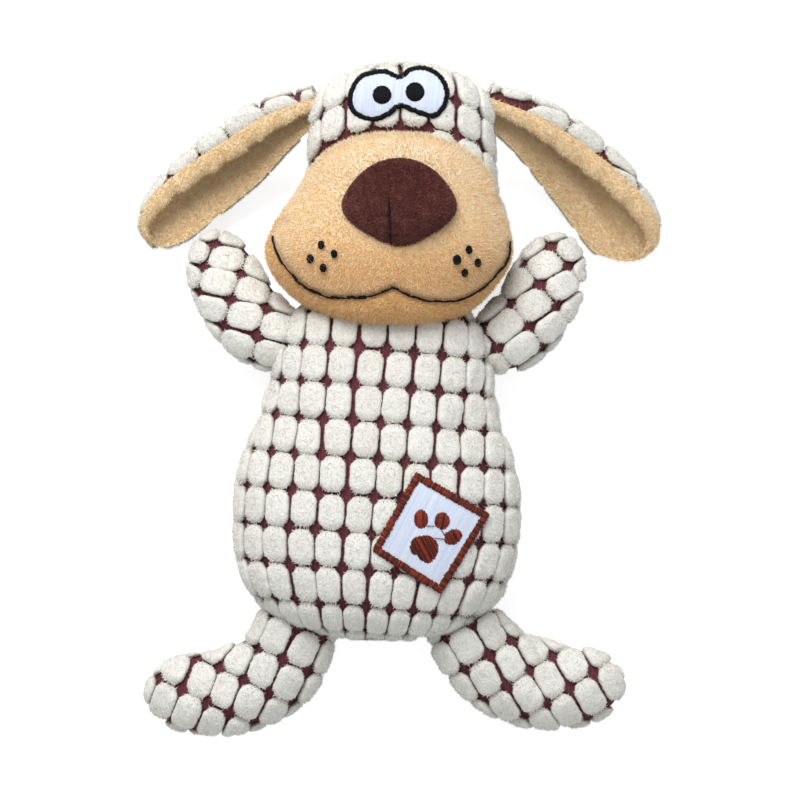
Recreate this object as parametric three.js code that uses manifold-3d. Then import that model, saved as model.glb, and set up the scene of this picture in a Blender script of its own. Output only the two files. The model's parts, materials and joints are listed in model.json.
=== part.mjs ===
// A plush dog toy that lies on its back, in millimetres. +Z points away from the floor, to the
// toy's front, and +Y points to the top of its head. Left and right are those of somebody who
// looks down on its front. The origin is on the floor, under the middle of the toy.
import * as THREE from "three";
import { mergeVertices } from "three/addons/utils/BufferGeometryUtils.js";
import Module from "manifold-3d";

const wasm = await Module();
wasm.setup();

// Cloth, seams and clearances
const seam_level = 38; // height of the side seams of torso and head above the floor
const floor_flat = 0.5; // how deep torso and head are pressed flat on the floor
const plush_skin = 3.2; // thickness of the plush cloth with its pile
const seam_gap = 0.3; // between two panels along a seam
const fit_gap = 0.4; // between a piece and the larger one that it is sewn to
const felt_thick = 1.2; // thickness of the embroidered patches
const thread_rise = 0.9; // how far embroidery stands up
const lattice = 0.01; // spacing that the points of cut pieces are rounded to
const weld_reach = 0.0001; // points nearer to each other than this are one
const limb_floor_gap = 1.2; // space under the tips of limbs and ears

// Tufts that the dimpled plush of the torso's front stands in, in rows and columns
const tuft_pitch = [12.8, 17.1]; // across and down the torso
const tuft_place = [5.6, 45.6]; // the middle of one of them, from the torso's top
const tuft_deep = 2.9; // from its top to the ground between the tufts
const tuft_side_share = 0.2; // how much of the pitch each of its sloping sides takes
const tufted_skin = 4.5; // thickness of the cloth with them
const tuft_width_share = 0.95; // how far across they go, of the half width
const tuft_room = 2; // between them and the next ring of the plain form

// Torso: a pear that is widest at the belly
const torso_length = 170.5;
const torso_half_width = 67.5;
const torso_front = 43;
const torso_back = seam_level + floor_flat;
const torso_lean = 2.5; // degrees
const torso_swell = 0.8; // power of the width that its depth follows towards its ends
const torso_square = 0.05; // how far its section bulges at the corners
const torso_outline_shares = [
  [0, 0], [0.008, 0.18], [0.035, 0.38], [0.075, 0.55], [0.13, 0.66], [0.2, 0.735],
  [0.3, 0.79], [0.4, 0.855], [0.5, 0.94], [0.6, 0.995], [0.69, 1], [0.78, 0.975],
  [0.855, 0.92], [0.91, 0.82], [0.95, 0.69], [0.98, 0.5], [0.995, 0.26], [1, 0],
];

// Head: the skull of dimpled plush, whose lower end overlaps the torso's neck
const head_length = 113;
const head_half_width = 52;
const head_front = 34;
const head_back = seam_level + floor_flat;
const neck_overlap = 14; // how far the head's lower end lies below the torso's top
const head_shift = 7; // the head's middle to the right of the torso's top
const head_swell = 0.5;
const head_square = 0.05;
const head_outline_shares = [
  [0, 0], [0.006, 0.22], [0.025, 0.43], [0.055, 0.6], [0.09, 0.71], [0.14, 0.78],
  [0.21, 0.825], [0.386, 0.865], [0.486, 0.88], [0.585, 0.92], [0.685, 0.97], [0.75, 1],
  [0.826, 0.96], [0.896, 0.8], [0.95, 0.56], [0.985, 0.29], [1, 0],
];

// Muzzle: a wide pouch of short plush on the lower half of the head
const muzzle_length = 90;
const muzzle_half_width = 58;
const muzzle_front = 45;
const muzzle_back = 24;
const muzzle_lift = 12; // its own rim above the side seams
const muzzle_shift = -4.3; // its middle against the head's
const chin_overhang = 10.5; // how far it hangs below the head's lower end
const muzzle_swell = 0.55;
const muzzle_square = 0.04;
const muzzle_outline_shares = [
  [0, 0], [0.01, 0.22], [0.04, 0.4], [0.09, 0.54], [0.18, 0.68], [0.28, 0.79], [0.4, 0.89],
  [0.48, 0.945], [0.58, 1], [0.68, 0.985], [0.775, 0.92], [0.85, 0.83], [0.91, 0.73],
  [0.96, 0.58], [0.99, 0.36], [1, 0],
];
const mouth_line_shares = [
  [-1.25, 0.3], [-0.89, 0.46], [-0.95, 0.565], [-0.91, 0.65], [-0.83, 0.73], [-0.715, 0.805],
  [-0.6, 0.85], [-0.4, 0.875], [-0.2, 0.868], [-0.03, 0.835], [0.03, 0.828], [0.15, 0.865],
  [0.306, 0.89], [0.516, 0.89], [0.653, 0.86], [0.78, 0.8], [0.88, 0.735], [0.945, 0.675],
  [0.968, 0.58], [1.25, 0.42],
];
const corner_steps = 2; // steps of the mouth's line beyond each corner of its thread
const mouth_thread = 1.3;
const whisker_radius = 1.6;
const whisker_shares = [
  [-0.57, 0.6], [-0.465, 0.645], [-0.66, 0.675], [-0.555, 0.72],
  [0.625, 0.625], [0.53, 0.675], [0.7, 0.695], [0.595, 0.745],
];

// Nose: a stuffed almond on the muzzle
const nose_length = 43;
const nose_half_width = 28;
const nose_front = 20;
const nose_back = 12;
const nose_skin = 2;
const nose_sink = 7; // its own rim below the muzzle's front
const nose_swell = 0.7;
const nose_place_share = 0.14; // its top, down the muzzle
const nose_stitch_shares = [-0.12, 0.34]; // its upper end, across and down the nose
const nose_stitch_share = 0.6; // its length against the nose's
const nose_outline_shares = [
  [0, 0], [0.015, 0.22], [0.08, 0.48], [0.18, 0.69], [0.3, 0.85], [0.42, 0.96], [0.52, 1],
  [0.62, 0.95], [0.74, 0.78], [0.86, 0.52], [0.95, 0.27], [1, 0],
];

// Eyes: one goggle-shaped patch with a satin rim and two pupils
const eye_width = 47.4;
const eye_rim = 2.2;
const pupil_radius = 4.4;
const eye_place_share = 0.155; // its middle, down the head
const eye_outline_shares = [
  [-0.5, -0.05], [-0.37, 0.14], [-0.12, 0.245], [0.015, 0.198], [0.183, 0.272], [0.39, 0.178],
  [0.5, 0], [0.44, -0.15], [0.3, -0.228], [0.134, -0.178], [0.015, -0.129], [-0.124, -0.208],
  [-0.282, -0.257], [-0.44, -0.178],
];
const pupil_shares = [[-0.165, 0], [0.16, 0.03]];

// Belly patch: a turned square with a satin border and a paw
const patch_width = 39.5;
const patch_height = 44;
const patch_corner = 5.5;
const patch_border = 3;
const patch_turn = -29.6; // degrees
const patch_place_shares = [0.39, 0.705]; // its middle: across and down the torso
const paw_pad_width = 13.6;
const paw_toe_radius = 2.2;
const paw_pad_shares = [
  [-0.5, 0.1], [-0.3, 0.42], [0.1, 0.48], [0.42, 0.25], [0.5, -0.1], [0.3, -0.42],
  [0.05, -0.45], [-0.2, -0.2], [-0.45, -0.2],
];
const paw_place_shares = [-0.07, -0.16];
const toe_place_shares = [[-0.11, 0.16], [0.145, 0.14], [0.27, -0.045]];

// Arms and legs: a route of shares of the length from the root, with the level as a share of the
// drop, and an outline of shares along the route and of the half width. Each turns about its seam,
// which crosses the torso's outline at a share of the torso's length.
const arm_length = 75.5;
const arm_half_width = 19;
const arm_half_thick = 17.5;
const arm_outline_shares = [
  [0, 0], [0.02, 0.5], [0.08, 0.82], [0.22, 0.98], [0.45, 1.04], [0.68, 1], [0.83, 0.85],
  [0.93, 0.6], [0.985, 0.28], [1, 0],
];
const leg_length = 101;
const leg_half_width = 22.5;
const leg_half_thick = 20.5;
const leg_outline_shares = [
  [0, 0], [0.02, 0.6], [0.08, 0.86], [0.22, 0.93], [0.4, 1], [0.6, 0.96], [0.8, 0.87],
  [0.92, 0.65], [0.985, 0.3], [1, 0],
];
const limbs = [
  {
    name: "arm_left", kind: "arm", root_shares: [-0.575, 0.214], seam_share: 0.214,
    axis: [0.1, 1, 0],
    route_shares: [[0, 0, 0], [-0.25, 0.13, 0.2], [-0.43, 0.365, 0.6], [-0.52, 0.585, 0.9],
      [-0.545, 0.76, 1]],
  },
  {
    name: "arm_right", kind: "arm", root_shares: [0.64, 0.21], seam_share: 0.21,
    axis: [0.1, -1, 0],
    route_shares: [[0, 0, 0], [0.255, 0.158, 0.2], [0.415, 0.392, 0.6], [0.5, 0.59, 0.9],
      [0.565, 0.77, 1]],
  },
  {
    name: "leg_left", kind: "leg", root_shares: [-0.52, 0.9], seam_share: 0.972,
    axis: [-0.94, 0.34, 0],
    route_shares: [[0, 0, 0], [-0.023, -0.186, 0.2], [-0.116, -0.335, 0.5],
      [-0.302, -0.428, 0.8], [-0.535, -0.446, 0.95], [-0.73, -0.432, 1]],
  },
  {
    name: "leg_right", kind: "leg", root_shares: [0.62, 0.9], seam_share: 0.955,
    axis: [-0.91, -0.41, 0],
    route_shares: [[0, 0, 0], [0.035, -0.14, 0.2], [0.15, -0.275, 0.5],
      [0.33, -0.36, 0.8], [0.55, -0.378, 0.95], [0.77, -0.318, 1]],
  },
];

// Ears: dimpled plush outside and short plush inside, curled over along the upper edge
const ear_length = 99;
const ear_half_width = 16.5;
const ear_outer_thick = 3;
const ear_lining_thick = 1.8;
const ear_root_shares = [0.72, 0.2]; // across and down the head
const ear_curled_shares = [
  [-0.93, 0.4], [-0.4, 0.02], [0.27, -0.1], [0.8, 0.13], [1, 0.5], [0.86, 0.86], [0.5, 0.98],
];
const ear_open_shares = [
  [-0.95, 0.3], [-0.5, 0.06], [0, 0], [0.4, 0.04], [0.72, 0.14], [0.9, 0.28], [1, 0.46],
];
const ear_opening = 2; // power of the way along it that its curl opens by
const ears = [
  {
    name: "ear_left", side: -1, axis: [-0.55, 0.83, 0],
    route_shares: [[0, 0, 0], [-0.232, -0.104, 0.4], [-0.398, -0.218, 0.7],
      [-0.55, -0.332, 0.88], [-0.678, -0.441, 0.96], [-0.763, -0.536, 0.99], [-0.8, -0.61, 1]],
    width_shares: [[0, 0.62], [0.12, 0.78], [0.3, 0.92], [0.5, 0.96], [0.7, 0.96],
      [0.85, 0.85], [0.94, 0.64], [1, 0.3]],
  },
  {
    name: "ear_right", side: 1, axis: [-0.55, -0.83, 0],
    route_shares: [[0, 0, 0], [0.23, -0.108, 0.4], [0.4, -0.23, 0.7],
      [0.545, -0.376, 0.88], [0.65, -0.512, 0.96], [0.71, -0.602, 0.99], [0.738, -0.68, 1]],
    width_shares: [[0, 0.62], [0.12, 0.78], [0.3, 0.93], [0.5, 1.04], [0.7, 1.16],
      [0.85, 1.14], [0.94, 0.88], [1, 0.42]],
  },
];

// Squeaker: a bellows with a reed, in a pocket of the stuffing behind the belly
const squeaker_radius = 18;
const squeaker_fold = 2.5;
const squeaker_wall = 1.2;
const squeaker_plate = 1.6;
const squeaker_height = 20;
const squeaker_folds = 4;
const squeaker_travel = 8;
const reed_radius = 3;
const pocket_gap = 1; // round the bellows
const squeaker_place_share = 0.66; // down the torso

// Turns of the seams, in degrees: below and above the way that the toy lies
const neck_turn = [-10, 5];
const limb_turn = [-25, 40];
const ear_turn = [-15, 60];
const neck_axis_level = 18; // height of the line that the head nods about
const turn_steps = 2;

// Counts of rings along a form and of points round it
const body_counts = [10, 16];
const limb_counts = [9, 8];
const small_counts = [8, 10];
const ear_rows = 7;
const curve_steps = 26;
const outline_steps = 60;
const dot_sides = 8;
const round_sides = 16;
const corner_bends = 2;

const materials = {
  dimple_plush: [0xe4e4e0, 0.95],
  short_plush: [0xe8c294, 0.92],
  nose_plush: [0x4a2c2a, 0.9],
  satin_white: [0xdce3f0, 0.6],
  satin_black: [0x101010, 0.5],
  satin_rust: [0x7e2a17, 0.6],
  stuffing: [0xf4f2ec, 1],
  squeaker_plastic: [0xd8dde0, 0.45],
};

// Geometry to solid, and back
function solidOf(geometry) {
  const bare = geometry.clone();
  bare.deleteAttribute("normal");
  bare.deleteAttribute("uv");
  const merged = mergeVertices(bare, weld_reach);
  return new wasm.Manifold(new wasm.Mesh({
    numProp: 3,
    vertProperties: new Float32Array(merged.attributes.position.array),
    triVerts: new Uint32Array(merged.index.array),
  }));
}

function geometryOf(solid) {
  const mesh = solid.getMesh();
  const geometry = new THREE.BufferGeometry();
  geometry.setAttribute("position", new THREE.BufferAttribute(mesh.vertProperties, 3));
  geometry.setIndex(new THREE.BufferAttribute(mesh.triVerts, 1));
  geometry.computeVertexNormals();
  return geometry;
}

function fromFaces(points, faces) {
  const geometry = new THREE.BufferGeometry().setFromPoints(points);
  geometry.setIndex(faces);
  return geometry;
}

// The same solid with its points on a fine lattice, so that slivers left by the cuts close up
function tidied(solid) {
  const geometry = geometryOf(solid);
  const { array } = geometry.attributes.position;
  array.forEach((value, i) => (array[i] = Math.round(value / lattice) * lattice));
  geometry.deleteAttribute("normal");
  const merged = mergeVertices(geometry, lattice / 4);
  const corners = Array.from(merged.index.array);
  const kept = [];
  for (let i = 0; i < corners.length; i += 3) {
    const [a, b, c] = corners.slice(i, i + 3);
    if (a !== b && b !== c && c !== a) kept.push(a, b, c);
  }
  merged.setIndex(kept);
  return solidOf(merged);
}

function joined(solids) {
  return solids.reduce((a, b) => a.add(b));
}

function largest(solid) {
  return solid.decompose().sort((a, b) => b.volume() - a.volume())[0];
}

// A smooth line through [along, wide] pairs, as evenly spaced pairs
function smoothPairs(pairs, count) {
  return new THREE.SplineCurve(pairs.map(([a, b]) => new THREE.Vector2(a, b))).getPoints(count);
}

// The half-width share of an outline at a share of its length
function wideAt(outline, along) {
  const pairs = smoothPairs(outline, outline_steps);
  const next = pairs.findIndex((p) => p.x >= along && p.x > 0);
  const [a, b] = [pairs[next - 1], pairs[next]];
  return a.y + ((b.y - a.y) * (along - a.x)) / (b.x - a.x);
}

// A point of the route, past its ends too, with the direction to its left
function station(form, along) {
  const clamped = Math.min(1, Math.max(0, along));
  const place = form.route.getPointAt(clamped);
  const ahead = form.route.getTangentAt(clamped);
  place.addScaledVector(ahead, (along - clamped) * form.length);
  return [place, new THREE.Vector3(-ahead.y, ahead.x, 0).normalize()];
}

// One ring of a form: points round its section, front half first, grown by a length all over
function ringPoints(form, pair, grow, lift, first, last) {
  const along = 0.5 + (pair.x - 0.5) * (1 + (2 * grow) / form.length);
  const [place, left] = station(form, along);
  const points = [];
  for (let i = first; i <= last; i++) {
    const turn = (2 * Math.PI * i) / form.counts[1];
    const height = Math.sin(turn) > 0 ? form.front : form.back;
    const across = Math.cos(turn) * pair.y * (form.half_width + grow);
    const up = Math.sin(turn) * Math.pow(pair.y, form.swell) * (height + grow);
    const square = 1 + form.square * Math.pow(Math.sin(2 * turn), 2);
    const point = place.clone().addScaledVector(left, -across * square);
    point.z += up * square + lift;
    points.push(point);
  }
  return points;
}

// Part of a form's skin from pole to pole, between two points of every ring
function skinGrid(form, grow, lift, first, last) {
  const pairs = smoothPairs(form.outline, form.counts[0] + 1);
  return pairs.map((pair, i) => (i === 0 || i === pairs.length - 1
    ? ringPoints(form, { x: pair.x, y: 0 }, grow, lift, 0, 0)
    : ringPoints(form, pair, grow, lift, first, last)));
}

// Triangles between the rings of a grid whose first and last rows are single points
function gridFaces(grid, offset, closed, turned) {
  const starts = [];
  grid.reduce((sum, row) => (starts.push(sum), sum + row.length), offset);
  const faces = [];
  const add = (a, b, c) => faces.push(...(turned ? [a, b, c] : [a, c, b]));
  for (let i = 0; i + 1 < grid.length; i++) {
    const wide = Math.max(grid[i].length, grid[i + 1].length);
    const at = (row, j) => starts[row] + (grid[row].length === 1 ? 0 : j % wide);
    for (let j = 0; j < (closed ? wide : wide - 1); j++) {
      if (grid[i].length > 1) add(at(i, j), at(i, j + 1), at(i + 1, j));
      if (grid[i + 1].length > 1) add(at(i + 1, j), at(i, j + 1), at(i + 1, j + 1));
    }
  }
  return faces;
}

// The whole form as a solid, grown by a length all over
function wholeForm(form, grow) {
  const grid = skinGrid(form, grow, 0, 0, form.counts[1] - 1);
  return solidOf(fromFaces(grid.flat(), gridFaces(grid, 0, true, false)));
}

// The front (side 1) or back (side -1) panel of a form: half of its skin, open at the seam
function panel(form, side, thick) {
  const half = form.counts[1] / 2;
  const range = side > 0 ? [0, half] : [half, 2 * half];
  const lift = (side * seam_gap) / 2;
  const outer = skinGrid(form, 0, lift, ...range);
  const inner = skinGrid(form, -thick, lift, ...range);
  const shift = outer.flat().length;
  const faces = gridFaces(outer, 0, false, false).concat(gridFaces(inner, shift, false, true));
  const rim = [0];
  let start = 1;
  const left = [];
  for (let i = 1; i + 1 < outer.length; i++) {
    rim.push(start);
    left.unshift(start + half);
    start += half + 1;
  }
  rim.push(start, ...left);
  rim.forEach((a, i) => {
    const b = rim[(i + 1) % rim.length];
    const [inner_a, inner_b] = [a + shift, b + shift];
    if (side > 0) faces.push(a, inner_b, b, a, inner_a, inner_b);
    else faces.push(a, inner_a, b, inner_a, inner_b, b);
  });
  return solidOf(fromFaces(outer.flat().concat(inner.flat()), faces));
}

// Triangles between two rows of points that run from rim to rim, each with its share across
function strip(upper, lower) {
  const faces = [];
  const next = (row, i) => (i + 1 < row.points.length ? row.shares[i + 1] : Infinity);
  for (let i = 0, j = 0; next(upper, i) < Infinity || next(lower, j) < Infinity;) {
    const [a, b] = [upper.start + i, lower.start + j];
    if (next(upper, i) <= next(lower, j)) {
      faces.push(a, b, a + 1);
      i += 1;
    } else {
      faces.push(a, b, b + 1);
      j += 1;
    }
  }
  return faces;
}

// Where the tufts start and end along a line, as pairs of a place and whether it is between two
function tuftSteps(pitch, middle, low, high) {
  const steps = [];
  for (let k = Math.floor((low - middle) / pitch); middle + (k - 0.5) * pitch < high; k++) {
    const start = middle + (k - 0.5) * pitch;
    steps.push([start, 1], [start + tuft_side_share * pitch, 0],
      [start + (1 - tuft_side_share) * pitch, 0]);
  }
  return steps.filter(([place]) => place > low && place < high);
}

// The front half of a straight form as a solid, whose skin stands in tufts
function tuftedHalf(form) {
  const smooth = new THREE.Mesh(geometryOf(wholeForm(form, 0)));
  const [start, ahead] = [form.route.getPointAt(0), form.route.getTangentAt(0)];
  const right = new THREE.Vector3(-ahead.y, ahead.x, 0);
  const at = (across, along) => start.clone().addScaledVector(right, across)
    .addScaledVector(ahead, along);
  const topAt = (point) => new THREE.Raycaster(
    point.clone().setZ(start.z + 2 * form.front), new THREE.Vector3(0, 0, -1))
    .intersectObject(smooth)[0].point.z;
  const rings = skinGrid(form, 0, 0, 0, form.counts[1] / 2).map((points) => ({
    points, along: points[0].clone().sub(start).dot(ahead),
    half: points[0].distanceTo(points[points.length - 1]) / 2,
  }));
  const [first, last] = [rings[1].along + tuft_room, rings[rings.length - 2].along - tuft_room];
  const rows = tuftSteps(tuft_pitch[1], tuft_place[1], first, last).map(([along, ditch]) => {
    const k = rings.findIndex((ring) => ring.along > along);
    const [a, b] = [rings[k - 1], rings[k]];
    const half = a.half + ((b.half - a.half) * (along - a.along)) / (b.along - a.along);
    const reach = half * tuft_width_share;
    const points = tuftSteps(tuft_pitch[0], tuft_place[0], -reach, reach).map(([x, groove]) => {
      const point = at(x, along);
      return point.setZ(topAt(point) - tuft_deep * Math.max(ditch, groove));
    });
    return { half, points: [at(-half, along), ...points, at(half, along)] };
  });
  const all = [rings[0], rings[1], ...rows, ...rings.slice(-2)];
  let count = 0;
  all.forEach((row) => {
    row.start = count;
    row.shares = row.points.map((p) => p.clone().sub(start).dot(right) / (row.half || 1));
    count += row.points.length;
  });
  const faces = [];
  for (let i = 0; i + 1 < all.length; i++) {
    const [a, b] = [all[i], all[i + 1]];
    faces.push(...strip(a, b));
    const [a_end, b_end] = [a, b].map((row) => row.start + row.points.length - 1);
    if (a_end > a.start) faces.push(a.start, a_end, b.start);
    if (b_end > b.start) faces.push(a_end, b_end, b.start);
  }
  return solidOf(fromFaces(all.flatMap((row) => row.points), faces));
}

// A prism far taller than the toy, whose outline is a closed list of [x, y]
function prism(points) {
  const shape = new THREE.Shape(points.map(([x, y]) => new THREE.Vector2(x, y)));
  const tall = 3 * (torso_front + torso_back);
  const geometry = new THREE.ExtrudeGeometry(shape, { depth: tall, bevelEnabled: false });
  return solidOf(geometry.translate(0, 0, -tall / 3));
}

// A thin piece that lies on a form, between two heights over it, within an outline
function onForm(form, outline, low, high) {
  const layer = wholeForm(form, high).subtract(wholeForm(form, low));
  return outline.intersect(frontHalf).intersect(layer);
}

function disc(x, y, radius) {
  return prism(Array.from({ length: dot_sides }, (_, i) => {
    const turn = (2 * Math.PI * (i + 0.5)) / dot_sides;
    return [x + radius * Math.cos(turn), y + radius * Math.sin(turn)];
  }));
}

function closedOutline(points, steps) {
  const curve = new THREE.CatmullRomCurve3(
    points.map(([x, y]) => new THREE.Vector3(x, y, 0)), true);
  return curve.getPoints(steps).slice(0, -1).map((p) => [p.x, p.y]);
}

// A band of one width along an open line of [x, y] points
function band(points, width) {
  const line = points.map(([x, y]) => new THREE.Vector2(x, y));
  const sides = line.map((p, i) => {
    const ahead = line[Math.min(i + 1, line.length - 1)].clone();
    return ahead.sub(line[Math.max(i - 1, 0)]).normalize();
  });
  const edge = (side) => line.map((p, i) => [
    p.x - (side * sides[i].y * width) / 2, p.y + (side * sides[i].x * width) / 2]);
  return edge(-1).concat(edge(1).reverse());
}

// A piece turned about a line through a pivot, by degrees
function turned(solid, pivot, axis, degrees) {
  const line = new THREE.Vector3(...axis).normalize();
  const geometry = geometryOf(solid).translate(-pivot.x, -pivot.y, -pivot.z);
  geometry.applyMatrix4(
    new THREE.Matrix4().makeRotationAxis(line, THREE.MathUtils.degToRad(degrees)));
  return solidOf(geometry.translate(pivot.x, pivot.y, pivot.z));
}

// Everything that the larger piece takes up as the smaller one turns about its seam
function sweep(solid, pivot, axis, [low, high]) {
  const angles = [low, 0, high];
  for (let i = 1; i < turn_steps; i++) angles.push((low * i) / turn_steps, (high * i) / turn_steps);
  return joined(angles.map((angle) => turned(solid, pivot, axis, -angle)));
}

// A half space over or under a level
function slab(low, high) {
  const wide = 2 * (head_length + torso_length + leg_length);
  const box = new THREE.BoxGeometry(wide, wide, high - low);
  return solidOf(box.translate(0, 0, (low + high) / 2));
}

// Forms in one frame, whose zero is the torso's top end, at floor level
const lean = THREE.MathUtils.degToRad(torso_lean);
const down_torso = new THREE.Vector3(-Math.sin(lean), -Math.cos(lean), 0);
const right_of_torso = new THREE.Vector3(Math.cos(lean), -Math.sin(lean), 0);
const neck = new THREE.Vector3(0, 0, seam_level);

function straight(start, direction, length) {
  return new THREE.LineCurve3(start, start.clone().addScaledVector(direction, length));
}

const torso = {
  route: straight(neck, down_torso, torso_length), length: torso_length,
  half_width: torso_half_width, front: torso_front, back: torso_back,
  outline: torso_outline_shares, swell: torso_swell, square: torso_square,
  counts: body_counts,
};
const down = new THREE.Vector3(0, -1, 0);
const head_top = new THREE.Vector3(head_shift, head_length - neck_overlap, seam_level);
const head = {
  route: straight(head_top, down, head_length), length: head_length,
  half_width: head_half_width, front: head_front, back: head_back,
  outline: head_outline_shares, swell: head_swell, square: head_square, counts: body_counts,
};
const muzzle_top = new THREE.Vector3(head_shift + muzzle_shift,
  muzzle_length - chin_overhang - neck_overlap, seam_level + muzzle_lift);
const muzzle = {
  route: straight(muzzle_top, down, muzzle_length), length: muzzle_length,
  half_width: muzzle_half_width, front: muzzle_front, back: muzzle_back,
  outline: muzzle_outline_shares, swell: muzzle_swell, square: muzzle_square,
  counts: body_counts,
};
const nose_top = muzzle_top.clone().addScaledVector(down, nose_place_share * muzzle_length);
nose_top.x = head_shift;
nose_top.z += muzzle_front - nose_sink;
const nose = {
  route: straight(nose_top, down, nose_length), length: nose_length,
  half_width: nose_half_width, front: nose_front, back: nose_back,
  outline: nose_outline_shares, swell: nose_swell, square: 0, counts: small_counts,
};

// A place on the torso's seam plane, from shares across its half width and down its length
function onTorso([across, along]) {
  return neck.clone().addScaledVector(right_of_torso, across * torso_half_width)
    .addScaledVector(down_torso, along * torso_length);
}

function limbForm(limb) {
  const arm = limb.kind === "arm";
  const length = arm ? arm_length : leg_length;
  const thick = arm ? arm_half_thick : leg_half_thick;
  const root = onTorso(limb.root_shares);
  const drop = seam_level - thick - limb_floor_gap;
  const points = limb.route_shares.map(([x, y, level]) => new THREE.Vector3(
    root.x + x * length, root.y + y * length, root.z - level * drop));
  const route = new THREE.CatmullRomCurve3(points, false, "centripetal");
  return {
    route, length, half_width: arm ? arm_half_width : leg_half_width, front: thick, back: thick,
    outline: arm ? arm_outline_shares : leg_outline_shares, swell: 1, square: 0,
    counts: limb_counts,
  };
}

// Where a limb's seam crosses the torso's outline
function limbPivot(limb) {
  const edge = wideAt(torso_outline_shares, limb.seam_share);
  return onTorso([Math.sign(limb.root_shares[0]) * edge, limb.seam_share]);
}

// Solids that other pieces are cut by or laid on
const frontHalf = slab(seam_level, seam_level + 2 * (torso_front + muzzle_front));
const under_floor = slab(-torso_back, 0);
const torso_around = wholeForm(torso, fit_gap);
const head_around = wholeForm(head, fit_gap);
const muzzle_around = wholeForm(muzzle, fit_gap);
const neck_pivot = new THREE.Vector3(head_shift, -neck_overlap / 2, neck_axis_level);
const neck_axis = [1, 0, 0];
const neck_room = sweep(torso_around, neck_pivot, neck_axis, neck_turn);
const nodding_face = joined([neck_turn[0], 0, neck_turn[1]].map(
  (angle) => turned(head_around.add(muzzle_around), neck_pivot, neck_axis, angle)));

const toy = new THREE.Group();
const bodies = {};

function body(name, pivot, parent) {
  const group = new THREE.Group();
  group.name = name;
  group.userData.pivot = pivot;
  group.position.copy(pivot).sub(parent ? parent.userData.pivot : new THREE.Vector3());
  (parent || toy).add(group);
  bodies[name] = group;
  return group;
}

// A named mesh in its body's group
function piece(name, group, material, solid) {
  const [color, roughness] = materials[material];
  const geometry = geometryOf(largest(tidied(largest(solid))));
  const pivot = group.userData.pivot;
  geometry.translate(-pivot.x, -pivot.y, -pivot.z);
  const mesh = new THREE.Mesh(geometry,
    new THREE.MeshStandardMaterial({ color, roughness, metalness: 0 }));
  mesh.name = name;
  group.add(mesh);
}

// Torso panels and stuffing, with the squeaker's pocket in the rear half of the stuffing
function addTorso() {
  const group = body("torso_body", new THREE.Vector3(), null);
  piece("body_front_panel", group, "dimple_plush",
    tuftedHalf(torso).translate(0, 0, seam_gap / 2).subtract(wholeForm(torso, -tufted_skin)));
  const back = panel(torso, -1, plush_skin).subtract(under_floor);
  piece("body_back_panel", group, "dimple_plush", back);
  const filling = (skin) => wholeForm(torso, -skin - seam_gap);
  const place = onTorso([0, squeaker_place_share]);
  const pocket = cylinder(squeaker_radius + squeaker_fold + pocket_gap, seam_level - pocketFloor(),
    place, pocketFloor());
  const upper = filling(tufted_skin)
    .intersect(slab(seam_level + seam_gap / 2, seam_level + 2 * torso_front));
  const lower = filling(plush_skin).intersect(slab(-torso_back, seam_level - seam_gap / 2));
  piece("body_stuffing_front", group, "stuffing", upper);
  piece("body_stuffing_back", group, "stuffing", lower.subtract(pocket));
  addSqueaker(group, place);
}

function pocketFloor() {
  return seam_level - squeaker_height - 2 * squeaker_plate - 2 * seam_gap - pocket_gap;
}

function cylinder(radius, height, place, low) {
  const geometry = new THREE.CylinderGeometry(radius, radius, 2 * height, round_sides);
  return solidOf(geometry.rotateX(Math.PI / 2).translate(place.x, place.y, low + height));
}

function addSqueaker(group, place) {
  const base = pocketFloor() + seam_gap;
  const outer = [];
  for (let i = 0; i <= 2 * squeaker_folds; i++) {
    const radius = squeaker_radius + (i % 2 ? squeaker_fold : 0);
    outer.push(new THREE.Vector2(radius, (i * squeaker_height) / (2 * squeaker_folds)));
  }
  const inner = outer.map((p) => new THREE.Vector2(p.x - squeaker_wall, p.y)).reverse();
  const lathe = new THREE.LatheGeometry([...outer, ...inner, outer[0]], round_sides)
    .rotateX(Math.PI / 2);
  const low = base + squeaker_plate + seam_gap;
  piece("squeaker_bellows", group, "squeaker_plastic",
    solidOf(lathe.translate(place.x, place.y, low)));
  const hole = (radius, from) => cylinder(radius, 2 * squeaker_plate, place, from);
  const plate = (from) => cylinder(squeaker_radius, squeaker_plate / 2, place, from);
  piece("squeaker_base", group, "squeaker_plastic", plate(base));
  const top = low + squeaker_height + seam_gap;
  const lid = body("squeaker_lid_body", new THREE.Vector3(place.x, place.y, top), group);
  piece("squeaker_lid", lid, "squeaker_plastic",
    plate(top).subtract(hole(reed_radius, top - squeaker_plate)));
}

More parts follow.
